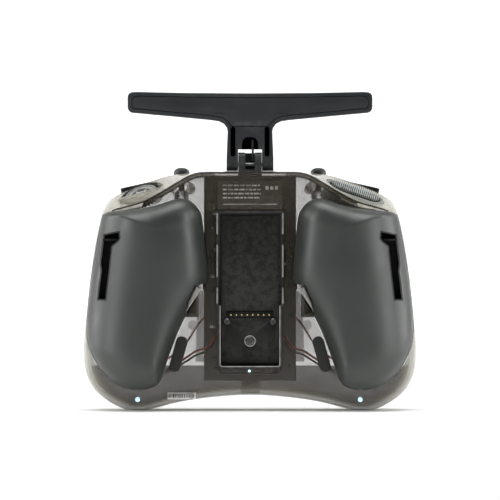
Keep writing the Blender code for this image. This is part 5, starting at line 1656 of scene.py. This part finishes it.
def antenna():
    y = (HINGE_Y - 3.0, HINGE_Y + 3.0)
    both = BAR_EDGE + [(-x, z) for x, z in BAR_EDGE[::-1] if x > 0]
    shell = softened(prism("aerial_shell", both, y), 0.55, 4, 40)
    join(shell, cylinder("knuckle", 3.0, (-11, HINGE_Y, HINGE_Z), (11, HINGE_Y, HINGE_Z), 48))
    cut(shell, box("fork", (-5.58, 5.58), (-20, 20), (105, 122.0)))
    loop = PANEL_EDGE + [(-x, z) for x, z in PANEL_EDGE[::-1] if x > 0]
    cut(shell, prism("recess", loop, (-20, y[0] + 1.4)))
    arch = [(-3.85, 110), (-3.85, 124.5), (-3.5, 126.0), (-2.6, 127.2), (-1.3, 127.8), (1.3, 127.8),
            (2.6, 127.2),
            (3.5, 126.0), (3.85, 124.5), (3.85, 110)]
    cut(shell, prism("arch", arch, (-20, HINGE_Y + 1.6)))
    for side in (LEFT, RIGHT):
        cut(shell,
            pill("slit", (side * 8.0, y[0], 125.6), 7.0, 1.2, -5.2, 9, (0, 0, 1), (0, -1, 0)))
    cut(shell, cylinder("pin_hole", 1.3, (-10, HINGE_Y, HINGE_Z), (10, HINGE_Y, HINGE_Z)))
    finished(shell, antenna_plastic(), "antenna", ["antenna_shell"], smooth=30)
    # The slit sheets and the arch sheet are painted shade: near-black sheets deep in the slits and
    # behind the arch.
    for side in (LEFT, RIGHT):
        liner = pill(f"slit_shade_sheet_{LABELS[side]}", (side * 8.0, y[0], 125.6), 6.9, 1.1, -5.15, -4.7,
                     (0, 0, 1),
                     (0, -1, 0))
        finished(liner, shade_black(), "antenna")
    arch_shade_sheet = prism("arch_shade_sheet",
                      [(x * 0.96, z - 0.15) for x, z in arch if z > 111] + [(3.7, 122.2),
                                                                            (-3.7, 122.2)],
                      (HINGE_Y + 1.0, HINGE_Y + 1.5))
    finished(arch_shade_sheet, shade_black(), "antenna")
    panel = softened(prism("aerial_panel", grown(loop, -0.35), (y[0] + 0.1, y[0] + 1.3)), 0.22, 3,
                     40)
    for side in (LEFT, RIGHT):
        cut(panel, box("slit", sorted((side * 12, side * 17)), (-20, y[0] + 0.5), (138.6, 138.95)))
    finished(panel, antenna_plastic(), "antenna",
             ["antenna_panel", "antenna_element"])
    cable = [(1.3, HINGE_Y - 0.4, z) for z in (HINGE_Z + 1.7, 118, 120, 122, 124, 126.5)]
    tube("coax", cable, 0.55, wire_black(), "antenna")
    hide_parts("coax_cable")
    front, rear, top = HINGE_Y + 3.2, HINGE_Y - 3.2, 120.6
    side_view = [(rear, 106.5), (rear, top - 2.4), (rear + 0.3, top - 1.5), (rear + 0.9, top - 0.7),
                 (rear + 1.7, top - 0.15), (rear + 2.4, top), (front - 2.4, top),
                 (front - 1.7, top - 0.15),
                 (front - 0.9, top - 0.7), (front - 0.3, top - 1.5), (front, top - 2.4),
                 (front, 106.5)]
    sideways = Matrix(((0, 0, 1, 0), (1, 0, 0, 0), (0, 1, 0, 0), (0, 0, 0, 1)))
    block = slab("hinge_body", side_view, -5.5, 5.5, sideways)
    join(block, box("foot", (-11, 11), (HINGE_Y - 5, HINGE_Y + 5), (105.4, 108.2)))
    cut(block, box("slot", (-2.2, 2.2), (-20, front - 1.6), (112.5, 130)),
        cylinder("pin_hole", 1.3, (-12, HINGE_Y, HINGE_Z), (12, HINGE_Y, HINGE_Z)))
    finished(softened(block, 0.3, 3), antenna_plastic(), "case", ["hinge_block"],
             smooth=30)
    gasket = softened(box("hinge_gasket", (-12.2, 12.2), (HINGE_Y - 3, HINGE_Y + 3),
                          (110.9, 111.75)), 0.2)
    finished(gasket, deep_black(), "case")
    pin = cylinder("hinge_rod", 1.0, (-9.6, HINGE_Y, HINGE_Z), (9.6, HINGE_Y, HINGE_Z), 32)
    finished(softened(pin, 0.2), dark_steel(), "case", ["hinge_pin"])


# ---------------------------------------------------------------- everything in order
stand_camera()
light_the_set()
lay_floor()
rear_case()
front_case()
plate_ridge()
screw_posts()
for each in (LEFT, RIGHT):
    grip_cover(each)
    latch(each)
    side_pad(each)
module_bay()
bay_screws()
bay_lines()
label_behind_plate()
sticker()
painted_glints()
circuit()
cells()
shoulder_controls()
gimbals()
toggles()
face_controls()
screen()
speaker()
socket()
antenna()
bpy.context.scene.view_settings.view_transform = "Standard"
bpy.context.view_layer.update()
